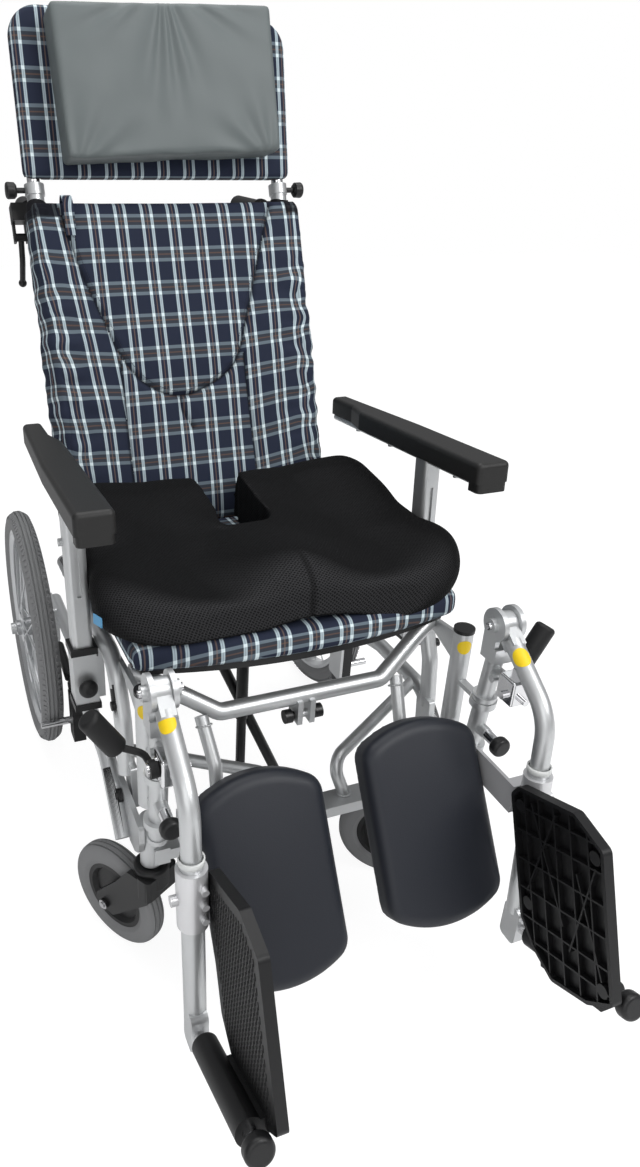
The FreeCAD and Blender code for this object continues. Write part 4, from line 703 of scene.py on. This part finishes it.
def mapBack(obj, cfg):
    # one cloth direction per sewn panel: shield, lower middle and the two sides
    mesh = obj.data
    local, normal = softRead(obj, backFrame)
    x, y, z = local.T
    fall = np.clip(530 - z, 0, 330)
    loose = ramp(np.abs(x), 160, 200) * ramp(z, 490, 410)
    side = ramp(np.abs(normal[:, 0]), 0.3, 0.8)
    depth = np.clip(y - cfg["front"], 0, 80) * unit(side * (np.abs(x) > 188) + (np.abs(x) > 207))
    warp = x + np.sign(x) * depth + 7 * noiseField(x, z, 40, 24, 2.6) * loose
    weft = z + 9 * noiseField(z, x, 30, 50, 7.6) * loose
    panels = np.stack([
        np.stack([warp, weft], -1),
        np.stack([warp + 0.03 * (243 - z) + 15, weft + 17], -1),
        np.stack([warp - 0.10 * fall + 8, weft + 6 + 0.06 * (x + 109)], -1),
        np.stack([warp + 0.02 * fall + 12, weft - 11 - 0.16 * (x - 95) * ramp(z, 420, 220)], -1),
    ])
    midX, _, midZ = faceMiddles(mesh, backFrame)
    shield = np.array(smoothLine(cfg["shield"]), float)
    lowest = int(np.argmin(shield[:, 1]))
    leftX = np.interp(midZ, shield[lowest::-1, 1], shield[lowest::-1, 0])
    rightX = np.interp(midZ, shield[lowest:, 1], shield[lowest:, 0])
    inside = (midZ > shield[lowest, 1]) & (midX > leftX) & (midX < rightX)
    which = np.where(midX < -109, 2, np.where(midX > 93, 3, 1))
    which = np.where((which == 1) & (midZ > 303), np.where(midX < -20, 2, 3), which)
    which = np.where(inside, 0, which)
    counts = np.empty(len(mesh.polygons), dtype=np.int64)
    mesh.polygons.foreach_get("loop_total", counts)
    writeCloth(obj, panels[np.repeat(which, counts), loopPoints(mesh)])
    # painted shade along the seam grooves on the front, and black at the top corners under the corner cloths
    _, nearest = seamDistance(x, z, cfg)
    front = unit(-normal[:, 1] * 3)
    corner = ((x < -174) & (z > 511)) | ((x > 188) & (z > 513))
    writeGrooveShadeAndCorner(obj, np.maximum(np.exp(-(nearest / 2.1) ** 2) * front, corner))


shapeBack(backPanel, backSet)
addWings(backPanel, backSet)
mapBack(backPanel, backSet)

stitchSet = {"size": (3.0, 0.7, 0.7), "rounding": 0.25, "pitch": 4.2, "beside": 6.5, "lift": 0.15, "top": 520}


def stitchPlaces(obj, matrix, line, cfg):
    # walks the line at one pitch and drops each stitch on the front of the soft piece
    places, walked = [], 0.0
    turn = matrix.to_3x3()
    for (ax, az), (bx, bz) in zip(line, line[1:]):
        dx, dz = bx - ax, bz - az
        length = math.hypot(dx, dz)
        while walked < length:
            share = walked / length
            across = ax + dx * share - dz / length * cfg["beside"]
            along = az + dz * share + dx / length * cfg["beside"]
            start = placed(matrix, across, -200, along)
            hit, point, normal, _ = obj.ray_cast(start, turn @ Vector((0, 1, 0)))
            if hit:
                run = turn @ Vector((dx, 0, dz))
                places.append((point + normal * cfg["lift"] * mm, axisTurn(normal, run)))
            walked += cfg["pitch"]
        walked -= length
    return places


stitchStamp = boxStamp("stitchStamp", stitchSet["size"], stitchSet["rounding"])
shieldLine = [p for p in smoothLine(backSet["shield"]) if p[1] < stitchSet["top"]]
stitches = stitchPlaces(backPanel, backFrame, shieldLine, stitchSet)
stampOn("shieldStitches", stitches, stitchStamp, threadMat, "back")
dropStamps(stitchStamp)

# Black corner cloths over the tube tops and the plaid strap loop at the upper right

cornerSet = {"low": 508.0, "high": 545.0, "radius": 16.2, "centre": 197.0, "thick": 1.4, "rows": 12,
             "steps": 36}


def cornerCloth(name, sign, cfg):
    work = bmesh.new()

    def clothPoint(share, angle, thick):
        bulge = 1.5 * math.sin(math.pi * share)
        bulge += 0.9 * noise.noise(Vector((3 * math.cos(angle), 3 * share, sign)))
        radius = cfg["radius"] + bulge - thick - 1.2 * share
        level = cfg["low"] + (cfg["high"] - cfg["low"]) * share + 2.0 * math.sin(2 * angle + sign)
        across = sign * cfg["centre"] + radius * math.cos(angle)
        return placed(backFrame, across, radius * math.sin(angle), level)

    angles = ringAngles(cfg["steps"])
    skins = [[[work.verts.new(clothPoint(row / cfg["rows"], angle, thick)) for angle in angles]
              for row in range(cfg["rows"] + 1)] for thick in (0.0, cfg["thick"])]
    shellFaces(work, *skins, closed=True)
    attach(addPiece(name, work, bindingMat), "back")


for side, sign in sides.items():
    cornerCloth("cornerCloth" + side.capitalize(), sign, cornerSet)

strapSet = {"at": -160.0, "wide": 15.0, "thick": 1.8, "front": -52.0,
            "path": [(-50, 484), (-53, 505), (-53, 524), (-47, 538), (-38, 543), (-29, 538), (-26, 527),
                     (-27, 516)]}


def strapLoop(name, cfg):
    path = smoothLine(cfg["path"], 5)
    work = bmesh.new()
    rings = []
    for (y, z), ahead, behind in zip(path, path[1:] + path[-1:], path[:1] + path[:-1]):
        dy, dz = ahead[0] - behind[0], ahead[1] - behind[1]
        half = 0.5 * cfg["thick"] / math.hypot(dy, dz)
        ring = []
        for x, lift in ((-0.5, half), (0.5, half), (0.5, -half), (-0.5, -half)):
            point = placed(backFrame, cfg["at"] + x * cfg["wide"], y - dz * lift, z + dy * lift)
            ring.append(work.verts.new(point))
        rings.append(ring)
    joinRings(work, rings)
    work.faces.new(rings[0])
    work.faces.new(rings[-1][::-1])
    bmesh.ops.recalc_face_normals(work, faces=work.faces)
    made = addPiece(name, work, mats["plaid"], False)
    clothMap(made, backFrame, cfg["front"], 2)
    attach(made, "back")


strapLoop("strapLoop", strapSet)
print("backrest done", len(backPanel.data.polygons))

# Headrest: plaid panel and grey vinyl pillow

headSet = {"voxel": 3.6, "smoothing": 2, "front": -20.0, "low": 4.0, "short": 0.955}
headPanel = softCopy("headPanel", "head_panel", headPlaid, headSet)


def shapeHead(obj, cfg):
    local, normal = softRead(obj, headFrame)
    local[:, 2] = cfg["low"] + (local[:, 2] - cfg["low"]) * cfg["short"]
    x, y, z = local.T
    push = 1.2 * noiseField(x, z, 70, 60, 2.2) + 0.7 * noiseField(x, z, 22, 30, 6.2)
    local[:, 1] += push * normal[:, 1]
    softWrite(obj, local, headFrame)


shapeHead(headPanel, headSet)
clothMap(headPanel, headFrame, headSet["front"], 2)

pillowSet = {"low": (-159.0, -79.0, 27.0), "high": (168.5, -18.0, 225.0), "rim": 6.5, "voxel": 2.6,
             "smoothing": 2, "fan": 2.0, "puff": 2.4, "corner": 1.3, "pipe": 1.5, "turn": 2.5,
             "middle": (4, 0, 126)}


def boxPad(name, cfg, matrix, mat):
    # a foam block with narrow rounded rims, as an even mesh
    low, high = Vector(cfg["low"]), Vector(cfg["high"])
    work = cubeWork(high - low)
    bmesh.ops.transform(work, matrix=matrix @ Matrix.Translation((low + high) * 0.5 * mm), verts=work.verts)
    obj = addPiece(name, work, mat)
    rim = obj.modifiers.new("rim", "BEVEL")
    rim.width, rim.segments = cfg["rim"] * mm, 4
    return evenMesh(obj, cfg)


def shapePillow(obj, cfg, matrix):
    # folds fan out from the middle of the upper edge and from both lower corners
    local, normal = softRead(obj, matrix)
    x, y, z = local.T
    low, high = z.min(), z.max()
    share = (z - low) / (high - low)
    across = x / np.abs(x).max()
    crown = unit(1 - across ** 2) * unit(1 - (2 * share - 1) ** 2)
    push = -cfg["puff"] * (crown - 0.5)
    angle = np.arctan2(x - 6, (high + 30) - z)
    reach = np.hypot(x - 6, (high + 30) - z)
    fan = np.sin(angle * 17 + 2.2 * np.sin(angle * 5)) * np.exp(-((reach - 70) / 85) ** 2)
    push += cfg["fan"] * fan * unit(1.2 - 0.5 * np.abs(angle))
    for cornerX in (-150, 152):
        angle = np.arctan2(x - cornerX, z - (low - 20))
        away = np.hypot(x - cornerX, z - (low - 20))
        push += cfg["corner"] * np.sin(angle * 12 + cornerX) * np.exp(-((away - 60) / 55) ** 2)
    push += 1.5 * noiseField(x, z, 80, 90, 4.4) + 0.5 * noiseField(x, z, 26, 34, 9.4)
    local[:, 1] += push * unit(-normal[:, 1])
    sag = 2.2 * noiseField(x, y, 60, 30, 3.3) * unit(-normal[:, 2])
    local[:, 2] += sag + 1.4 * noiseField(x, y, 70, 40, 6.3) * unit(normal[:, 2])
    softWrite(obj, local, matrix)


# the pillow sits a little askew on its panel
pillowMiddle = Matrix.Translation(Vector(pillowSet["middle"]) * mm)
pillowTurn = Matrix.Rotation(math.radians(-pillowSet["turn"]), 4, "Y")
pillowFrame = headFrame @ pillowMiddle @ pillowTurn @ pillowMiddle.inverted()
headPillow = boxPad("headPillow", pillowSet, pillowFrame, mats["pillow_vinyl"])
shapePillow(headPillow, pillowSet, pillowFrame)
(pipeStart, pipeFront, pipeLevel), pipeEnd = pillowSet["low"], pillowSet["high"][0]
pipeFront += pillowSet["rim"] * 0.5 + 3.0
pipePoints = [placed(pillowFrame, x, pipeFront, pipeLevel + 2.2)
              for x in np.linspace(pipeStart + 7, pipeEnd - 7, 13)]
pillowPipe = tubeCurve("pillowPipe", pipePoints, pillowSet["pipe"], mats["pillow_vinyl"])
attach(pillowPipe, "headrest")
print("headrest done")

# Seat pad and the black pressure cushion

padSet = {"voxel": 3.8, "smoothing": 3, "top": 36.0}
seatPad = softCopy("seatPad", "seat_pad", padPlaid, padSet)
clothMap(seatPad, seatFrame, padSet["top"], 1)

cushionSet = {
    "voxel": 3.4, "smoothing": 3, "grooveDeep": 3.0, "grooveWide": 2.9, "creaseWide": 2.0, "ripple": 0.9,
    "waistDeep": 1.2, "waistLevel": 58.0, "rearLift": 12.0, "waistFill": 9.0, "sidePull": 0.5,
    # pulls on the slot's corners: place, move and reach
    "pulls": [(-26, -40, -14, -15, 26), (26, -40, 2, -12, 26), (-36, 122, -10, -9, 22), (36, 122, 8, -9, 22)],
}
seatCushion = softCopy("seatCushion", "seat_cushion", mats["cushion_mesh"], cushionSet)


def shapeCushion(obj, cfg):
    local, normal = softRead(obj, seatFrame)
    x, y, z = local.T
    front = unit(-normal[:, 1] * 2.2) * ramp(y, -150, -170)
    groove = np.exp(-(x / cfg["grooveWide"]) ** 2) * cfg["grooveDeep"] * front
    ripple = cfg["ripple"] * noiseField(x, y, 70, 80, 7.7) * unit(normal[:, 2])
    local += normal * (ripple - groove)[:, None]
    # painted shade in the front groove
    writeGrooveShadeAndCorner(obj, np.exp(-(x / cfg["creaseWide"]) ** 2) * front)
    waist = np.exp(-((z - cfg["waistLevel"]) / 5.0) ** 2) * unit(1 - np.abs(normal[:, 2]) * 1.6)
    outside = ((np.abs(x) > 60) | (y < -60)) * (1 - front)
    local -= normal * (cfg["waistDeep"] * waist * outside)[:, None]
    # square front corners and round rear corners of the slot, then lifted rear lobes and fuller flanks
    for atX, atY, moveX, moveY, reach in cfg["pulls"]:
        near = np.exp(-((x - atX) ** 2 + (y - atY) ** 2) / reach ** 2)
        local[:, 0] += moveX * near
        local[:, 1] += moveY * near
    flank = ramp(np.abs(x), 110, 215)
    local[:, 2] += cfg["rearLift"] * flank * ramp(z, 40, 90) * ramp(y, -110, 60)
    local[:, 0] += np.sign(x) * cfg["waistFill"] * flank * np.exp(-((y + 95) / 42) ** 2)
    softWrite(obj, local, seatFrame)


def mapKnit(obj, cfg):
    # one sheet drawn over the top, the front and both sides: each coordinate runs on down past the edge
    x, y, z = softRead(obj, seatFrame)[0].T
    warp = x - cfg["sidePull"] * (z - 60) * np.tanh(x / 150)
    writeCloth(obj, np.stack([warp, y + z], -1)[loopPoints(obj.data)])


shapeCushion(seatCushion, cushionSet)
mapKnit(seatCushion, cushionSet)
print("seat done", len(seatPad.data.polygons), len(seatCushion.data.polygons))

# Calf pads

calfSet = {"voxel": 3.6, "smoothing": 3, "half": (79, 125), "crown": 2.8, "sink": 2.4}


def calfPad(side, cfg):
    pad = softCopy("calfPad" + side.capitalize(), "calf_pad_" + side, mats["calf_vinyl"], cfg)
    local, normal = softRead(pad, calfFrames[side])
    x, y, z = local.T
    halfX, halfZ = cfg["half"]
    crown = cfg["crown"] * unit(1 - (x / halfX) ** 2) * unit(1 - (z / halfZ) ** 2)
    local[:, 1] -= (crown - cfg["sink"]) * unit(-normal[:, 1])
    softWrite(pad, local, calfFrames[side])
    return pad


calfPads = {side: calfPad(side, calfSet) for side in sides}
print("calf pads done")

softRides = [
    (backPanel, "back", "back_upholstery", "plaid", 0.55),
    (headPanel, "headrest", "head_panel", "plaid", 0.8),
    (headPillow, "headrest", "head_pillow", "pillow_vinyl", 0.85),
    (seatPad, "seat", "seat_pad", "plaid", 0.85),
    (seatCushion, "seat", "seat_cushion", "cushion_mesh", 0.95),
]
softRides += [(calfPads[side], "shank_" + side, "calf_pad_" + side, "calf_vinyl", 0.95) for side in sides]
for obj, body, node, slotName, fill in softRides:
    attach(obj, body)
    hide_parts(node)
print("soft pieces riding")

# Footplate tread: slanted dashes on the outer face of each plate

treadSet = {"pitch": 7.0, "dash": (0.9, 7.6, 1.0), "rounding": 0.3, "slant": 48.0, "margin": 11.0,
            "face": 16.7, "start": (40, -16), "area": (170, 230), "hinge": (162, 20),
            "outline": [(44, 44), (44, 198), (58, 210), (150, 210), (190, 182), (190, 10), (150, -9),
                        (92, -14), (62, 12)]}


def insideOutline(point, outline, margin):
    px, pz = point
    odd = False
    for (ax, az), (bx, bz) in zip(outline, outline[1:] + outline[:1]):
        if (az > pz) != (bz > pz) and px < (bx - ax) * (pz - az) / (bz - az) + ax:
            odd = not odd
    near = polyDistance(np.array([px]), np.array([pz]), outline + outline[:1])[0]
    return odd and near > margin


def treadPlaces(matrix, cfg):
    turn = matrix.to_3x3() @ Matrix.Rotation(math.radians(cfg["slant"]), 3, "X")
    columns, rows = (int(length / cfg["pitch"]) for length in cfg["area"])
    places = []
    for row in range(rows):
        for column in range(columns):
            shift = 0.5 * cfg["pitch"] * (row % 2)
            y, z = cfg["start"][0] + column * cfg["pitch"] + shift, cfg["start"][1] + row * cfg["pitch"]
            onHinge = y < cfg["hinge"][0] and z < cfg["hinge"][1]
            if insideOutline((y, z), cfg["outline"], cfg["margin"]) and not onHinge:
                places.append((placed(matrix, cfg["face"], y, z), turn))
    return places


dashStamp = boxStamp("dashStamp", treadSet["dash"], treadSet["rounding"])
for side, sign in sides.items():
    places = treadPlaces(rodFrame(sign), treadSet)
    tread = stampOn("footTread" + side.capitalize(), places, dashStamp, plateMat, "foot_" + side)
dropStamps(dashStamp)
print("footplate tread done")

# Tread blocks on the shoulders of the rear tyres

tyreSet = {"middle": (268.0, 0.0, 203.0), "reach": 196.6, "offset": 12.6, "lean": 40.0, "count": 116,
           "block": (6.4, 5.6, 1.7), "rounding": 0.5}


def tyrePlaces(sign, cfg):
    x, y, z = cfg["middle"]
    middle = rowPoint(sign * x, y, z)
    lean = math.radians(cfg["lean"])
    places = []
    for way in (-1, 1):
        for step in range(cfg["count"]):
            angle = 2 * math.pi * (step + 0.25 * way) / cfg["count"]
            out = Vector((0, math.cos(angle), math.sin(angle)))
            normal = out * math.cos(lean) + Vector((way, 0, 0)) * math.sin(lean)
            spot = middle + (out * cfg["reach"] + Vector((way * cfg["offset"], 0, 0))) * mm
            places.append((spot, axisTurn(normal, (1, 0, 0))))
    return places


blockStamp = boxStamp("blockStamp", tyreSet["block"], tyreSet["rounding"])
for side, sign in sides.items():
    places = tyrePlaces(sign, tyreSet)
    tread = stampOn("tyreTread" + side.capitalize(), places, blockStamp, mats["tyre_grey"], "wheel_" + side)
dropStamps(blockStamp)
print("tyre tread done")

# Rings, discs, bolts and weld beads

ringSet = {"level": 337.5, "high": 8.0, "outer": 14.4, "inner": 12.9, "steps": 40,
           "elbow": (-727, 402), "foot": (-748, 96)}


def legRing(name, sign, cfg):
    # white ring where the leg tube slides into the hanger tube
    (elbowY, elbowZ), (footY, footZ) = cfg["elbow"], cfg["foot"]
    share = (cfg["level"] - elbowZ) / (footZ - elbowZ)
    centre = rowPoint(sign * legX, elbowY + (footY - elbowY) * share, cfg["level"])
    place = Matrix.Translation(centre) @ axisTurn((0, footY - elbowY, footZ - elbowZ)).to_4x4()
    work = bmesh.new()
    rings = []
    for key, level in (("inner", 0), ("outer", 0.15), ("outer", 0.85), ("inner", 1)):
        rings.append([work.verts.new(placed(place, cfg[key] * math.cos(angle), cfg[key] * math.sin(angle),
                                            level * cfg["high"])) for angle in ringAngles(cfg["steps"])])
    joinRings(work, rings + rings[:1])
    bmesh.ops.recalc_face_normals(work, faces=work.faces)
    return addPiece(name, work, whiteRing)


discSet = {
    "rings": 7, "steps": 36,
    "hanger": {"along": (0, -0.814, -0.581), "facing": (-0.45, -0.5, 0.7), "tube": 11.4, "radius": 11.5},
    "receiver": {"along": (0, 0, 1), "facing": (-0.35, -1, 0), "tube": 13.0, "radius": 10.0},
    "down": {"left": 48.0, "right": 38.0},  # from the hanger's pivot along the tube
}


def wrappedDisc(name, centre, cfg):
    # a thin sticker bent round a tube
    axis = Vector(cfg["along"]).normalized()
    out = (Vector(cfg["facing"]) - axis * Vector(cfg["facing"]).dot(axis)).normalized()
    cross = axis.cross(out)
    tube = cfg["tube"]
    work = bmesh.new()
    loops = []
    for ring in range(1, discSet["rings"] + 1):
        reach = cfg["radius"] * ring / discSet["rings"]
        loop = []
        for angle in ringAngles(discSet["steps"]):
            bend = reach * math.sin(angle) / tube
            offset = axis * reach * math.cos(angle)
            offset += (out * math.cos(bend) + cross * math.sin(bend)) * tube
            loop.append(work.verts.new(centre + offset * mm))
        loops.append(loop)
    middle = work.verts.new(centre + out * tube * mm)
    for first, second in zip(loops[0], loops[0][1:] + loops[0][:1]):
        work.faces.new((first, second, middle))
    joinRings(work, loops)
    bmesh.ops.recalc_face_normals(work, faces=work.faces)
    return addPiece(name, work, yellowDisc)


pivotY, pivotZ = -629, 472  # the hanger tube's pivot in its clevis
boltSet = {"head": (5.0, 3.2, 0.55), "small": (3.6, 2.4, 0.55), "clevisHalf": 21.0, "stopX": 229.0,
           "stops": ((-664, 412), (-672, 396)), "tilt": (237.0, -500, 228)}
boltHead = boltStamp("boltHead", *boltSet["head"])
smallBolt = boltStamp("smallBolt", *boltSet["small"])
for side, sign in sides.items():
    cap = side.capitalize()
    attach(legRing("legRing" + cap, sign, ringSet), "shank_" + side)
    _, alongY, alongZ = discSet["hanger"]["along"]
    down = discSet["down"][side]
    spot = rowPoint(sign * legX, pivotY + alongY * down, pivotZ + alongZ * down)
    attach(wrappedDisc("hangerDisc" + cap, spot, discSet["hanger"]), "leg_lift_" + side)
    spot = rowPoint(sign * receiverX, -560, 404)
    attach(wrappedDisc("receiverDisc" + cap, spot, discSet["receiver"]), "seat")
    heads = [(rowPoint(sign * legX + way * boltSet["clevisHalf"], pivotY, pivotZ), axisTurn((way, 0, 0)))
             for way in (-1, 1)]
    stampOn("hangerBolts" + cap, heads, boltHead, boltMat, "hanger_" + side)
    outward = axisTurn((sign, 0, 0))
    spots = [(rowPoint(sign * boltSet["stopX"], y, z), outward) for y, z in boltSet["stops"]]
    stampOn("stopBolts" + cap, spots, smallBolt, boltMat, "hanger_" + side)
    x, y, z = boltSet["tilt"]
    stampOn("tiltBolt" + cap, [(rowPoint(sign * x, y, z), outward)], boltHead, blackMetal, "base")

beadSet = {"size": (1.9, 0.7), "radius": 9.0, "count": 24}
beadStamp = beadShape("beadStamp", *beadSet["size"])


def beadRing(name, centre, axis, body):
    turn = axisTurn(axis)
    places = []
    for angle in ringAngles(beadSet["count"]):
        offset = turn @ (Vector((math.cos(angle), math.sin(angle), 0)) * beadSet["radius"] * mm)
        places.append((centre + offset, turn))
    stampOn(name, places, beadStamp, mats["frame_silver"], body, True)


for side, sign in sides.items():
    cap = side.capitalize()
    beadRing("hookBead" + cap, rowPoint(sign * 134, -538, 341), (0.05 * sign, 0.5, 0.8), "seat")
    beadRing("braceBead" + cap, rowPoint(sign * 58, -560, 199), (0, 0, 1), "base")
dropStamps(boltHead, smallBolt, beadStamp)
print("small parts done")

# Black binding under the seat pad's front, and the cushion's blank tag

edgeSet = {"half": 212.0, "sideFront": -221.0, "midFront": -253.0, "level": 3.5, "radius": 3.2, "steps": 40}
tagSet = {"place": (-247, -190, 56), "size": (1.2, 16, 13), "turn": 24.0}


def frontEdge(cfg):
    points = []
    for x in np.linspace(-cfg["half"], cfg["half"], cfg["steps"] + 1):
        y = cfg["midFront"] + (cfg["sideFront"] - cfg["midFront"]) * (x / cfg["half"]) ** 2
        points.append(placed(seatFrame, x, y, cfg["level"]))
    return points


def cushionTag(name, cfg):
    work = cubeWork(cfg["size"])
    place = Matrix.Translation(placed(seatFrame, *cfg["place"]))
    turn = Matrix.Rotation(math.radians(cfg["turn"]), 4, "Z")
    bmesh.ops.transform(work, matrix=place @ turn, verts=work.verts)
    return addPiece(name, work, tagMat, False)


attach(tubeCurve("seatBinding", frontEdge(edgeSet), edgeSet["radius"], bindingMat), "seat")
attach(cushionTag("cushionTag", tagSet), "seat")
print("edging done")

# Stage, light and camera

def cameraMix(tree, lit, seen, share, output):
    # the camera sees one shader, the light meets the other
    rays = addNode(tree, "ShaderNodeLightPath")
    mix = addNode(tree, "ShaderNodeMixShader")
    tree.links.new(mathNode(tree, "MULTIPLY", rays.outputs["Is Camera Ray"], share), mix.inputs[0])
    tree.links.new(lit.outputs[0], mix.inputs[1])
    tree.links.new(seen.outputs[0], mix.inputs[2])
    tree.links.new(mix.outputs[0], tree.nodes[output].inputs["Surface"])


floorSet = {"half": 6.0, "level": -0.0005, "color": (0.9, 0.9, 0.9), "glow": 1.16, "glowShare": 0.78}
floorMesh = bpy.data.meshes.new("floor")
floorCorners = [(x * floorSet["half"], y * floorSet["half"], floorSet["level"])
                for x, y in ((-1, -1), (1, -1), (1, 1), (-1, 1))]
floorMesh.from_pydata(floorCorners, [], [(0, 1, 2, 3)])
floorMat, floorTree, floorShader = newMaterial("floorPale")
setInputs(floorShader, BaseColor=(*floorSet["color"], 1), Roughness=0.9)
glow = setInputs(addNode(floorTree, "ShaderNodeEmission"), Color=(1, 1, 1, 1), Strength=floorSet["glow"])
cameraMix(floorTree, floorShader, glow, floorSet["glowShare"], "Material Output")
addObject("floor", floorMesh, floorMat, False)

lightSet = {
    "key": {"place": (1.3, -2.3, 2.7), "aim": (0, -0.1, 0.5), "size": 1.6, "power": 62.0},
    "fill": {"place": (-1.3, -2.5, 1.5), "aim": (0, 0, 0.5), "size": 2.0, "power": 20.0},
    "top": {"place": (0.1, 0.4, 3.0), "aim": (0, 0, 0.5), "size": 2.0, "power": 40.0},
}
for name, cfg in lightSet.items():
    lamp = bpy.data.lights.new(name, "AREA")
    lamp.size = cfg["size"]
    lamp.energy = cfg["power"]
    holder = bpy.data.objects.new(name, lamp)
    holder.location = cfg["place"]
    aim = Vector(cfg["aim"]) - Vector(cfg["place"])
    holder.rotation_euler = aim.to_track_quat("-Z", "Y").to_euler()
    scene.collection.objects.link(holder)

# position on the ramp and colour, from below the floor to overhead
skySet = {"strength": 0.55, "stops": [(0.30, (0.20, 0.20, 0.21, 1)), (0.5, (0.42, 0.42, 0.43, 1)),
                                      (0.85, (0.95, 0.96, 0.98, 1))]}
world = bpy.data.worlds.new("studio")
scene.world = world
world.use_nodes = True
sky = world.node_tree
dome = setInputs(sky.nodes["Background"], Strength=skySet["strength"])
coord = addNode(sky, "ShaderNodeTexCoord")
split = addNode(sky, "ShaderNodeSeparateXYZ")
sky.links.new(coord.outputs["Generated"], split.inputs[0])
skyRamp = addNode(sky, "ShaderNodeValToRGB")
stops = skyRamp.color_ramp.elements
stops.new(0.5)
for stop, (position, color) in zip(stops, skySet["stops"]):
    stop.position, stop.color = position, color
height = mathNode(sky, "ADD", mathNode(sky, "MULTIPLY", split.outputs["Z"], 0.5), 0.5)
sky.links.new(height, skyRamp.inputs["Fac"])
sky.links.new(skyRamp.outputs["Color"], dome.inputs["Color"])
plain = setInputs(addNode(sky, "ShaderNodeBackground"), Color=(1, 1, 1, 1))
cameraMix(sky, dome, plain, 1.0, "World Output")

cameraSet = {"place": (-0.41495, -1.34417 + axleY * mm, 0.99531), "heading": 21.197, "pitch": -26.752,
             "roll": 1.379, "lens": 26.667, "shift": (0.0753, -0.0181)}
heading, pitch, roll = (math.radians(cameraSet[key]) for key in ("heading", "pitch", "roll"))
forward = Vector((math.sin(heading) * math.cos(pitch), math.cos(heading) * math.cos(pitch), math.sin(pitch)))
right = Vector((math.cos(heading), -math.sin(heading), 0))
upward = right.cross(forward)
tiltRight = right * math.cos(roll) + upward * math.sin(roll)
tiltUp = upward * math.cos(roll) - right * math.sin(roll)
lens = bpy.data.cameras.new("photoCamera")
lens.sensor_width = 36.0
lens.lens = cameraSet["lens"]
lens.shift_x, lens.shift_y = cameraSet["shift"]
lens.clip_start = 0.02
camera = bpy.data.objects.new("photoCamera", lens)
cameraTurn = Matrix((tiltRight, tiltUp, -forward)).transposed().to_4x4()
camera.matrix_world = Matrix.Translation(cameraSet["place"]) @ cameraTurn
scene.collection.objects.link(camera)
scene.camera = camera
scene.view_settings.view_transform = "Standard"
print("stage done")
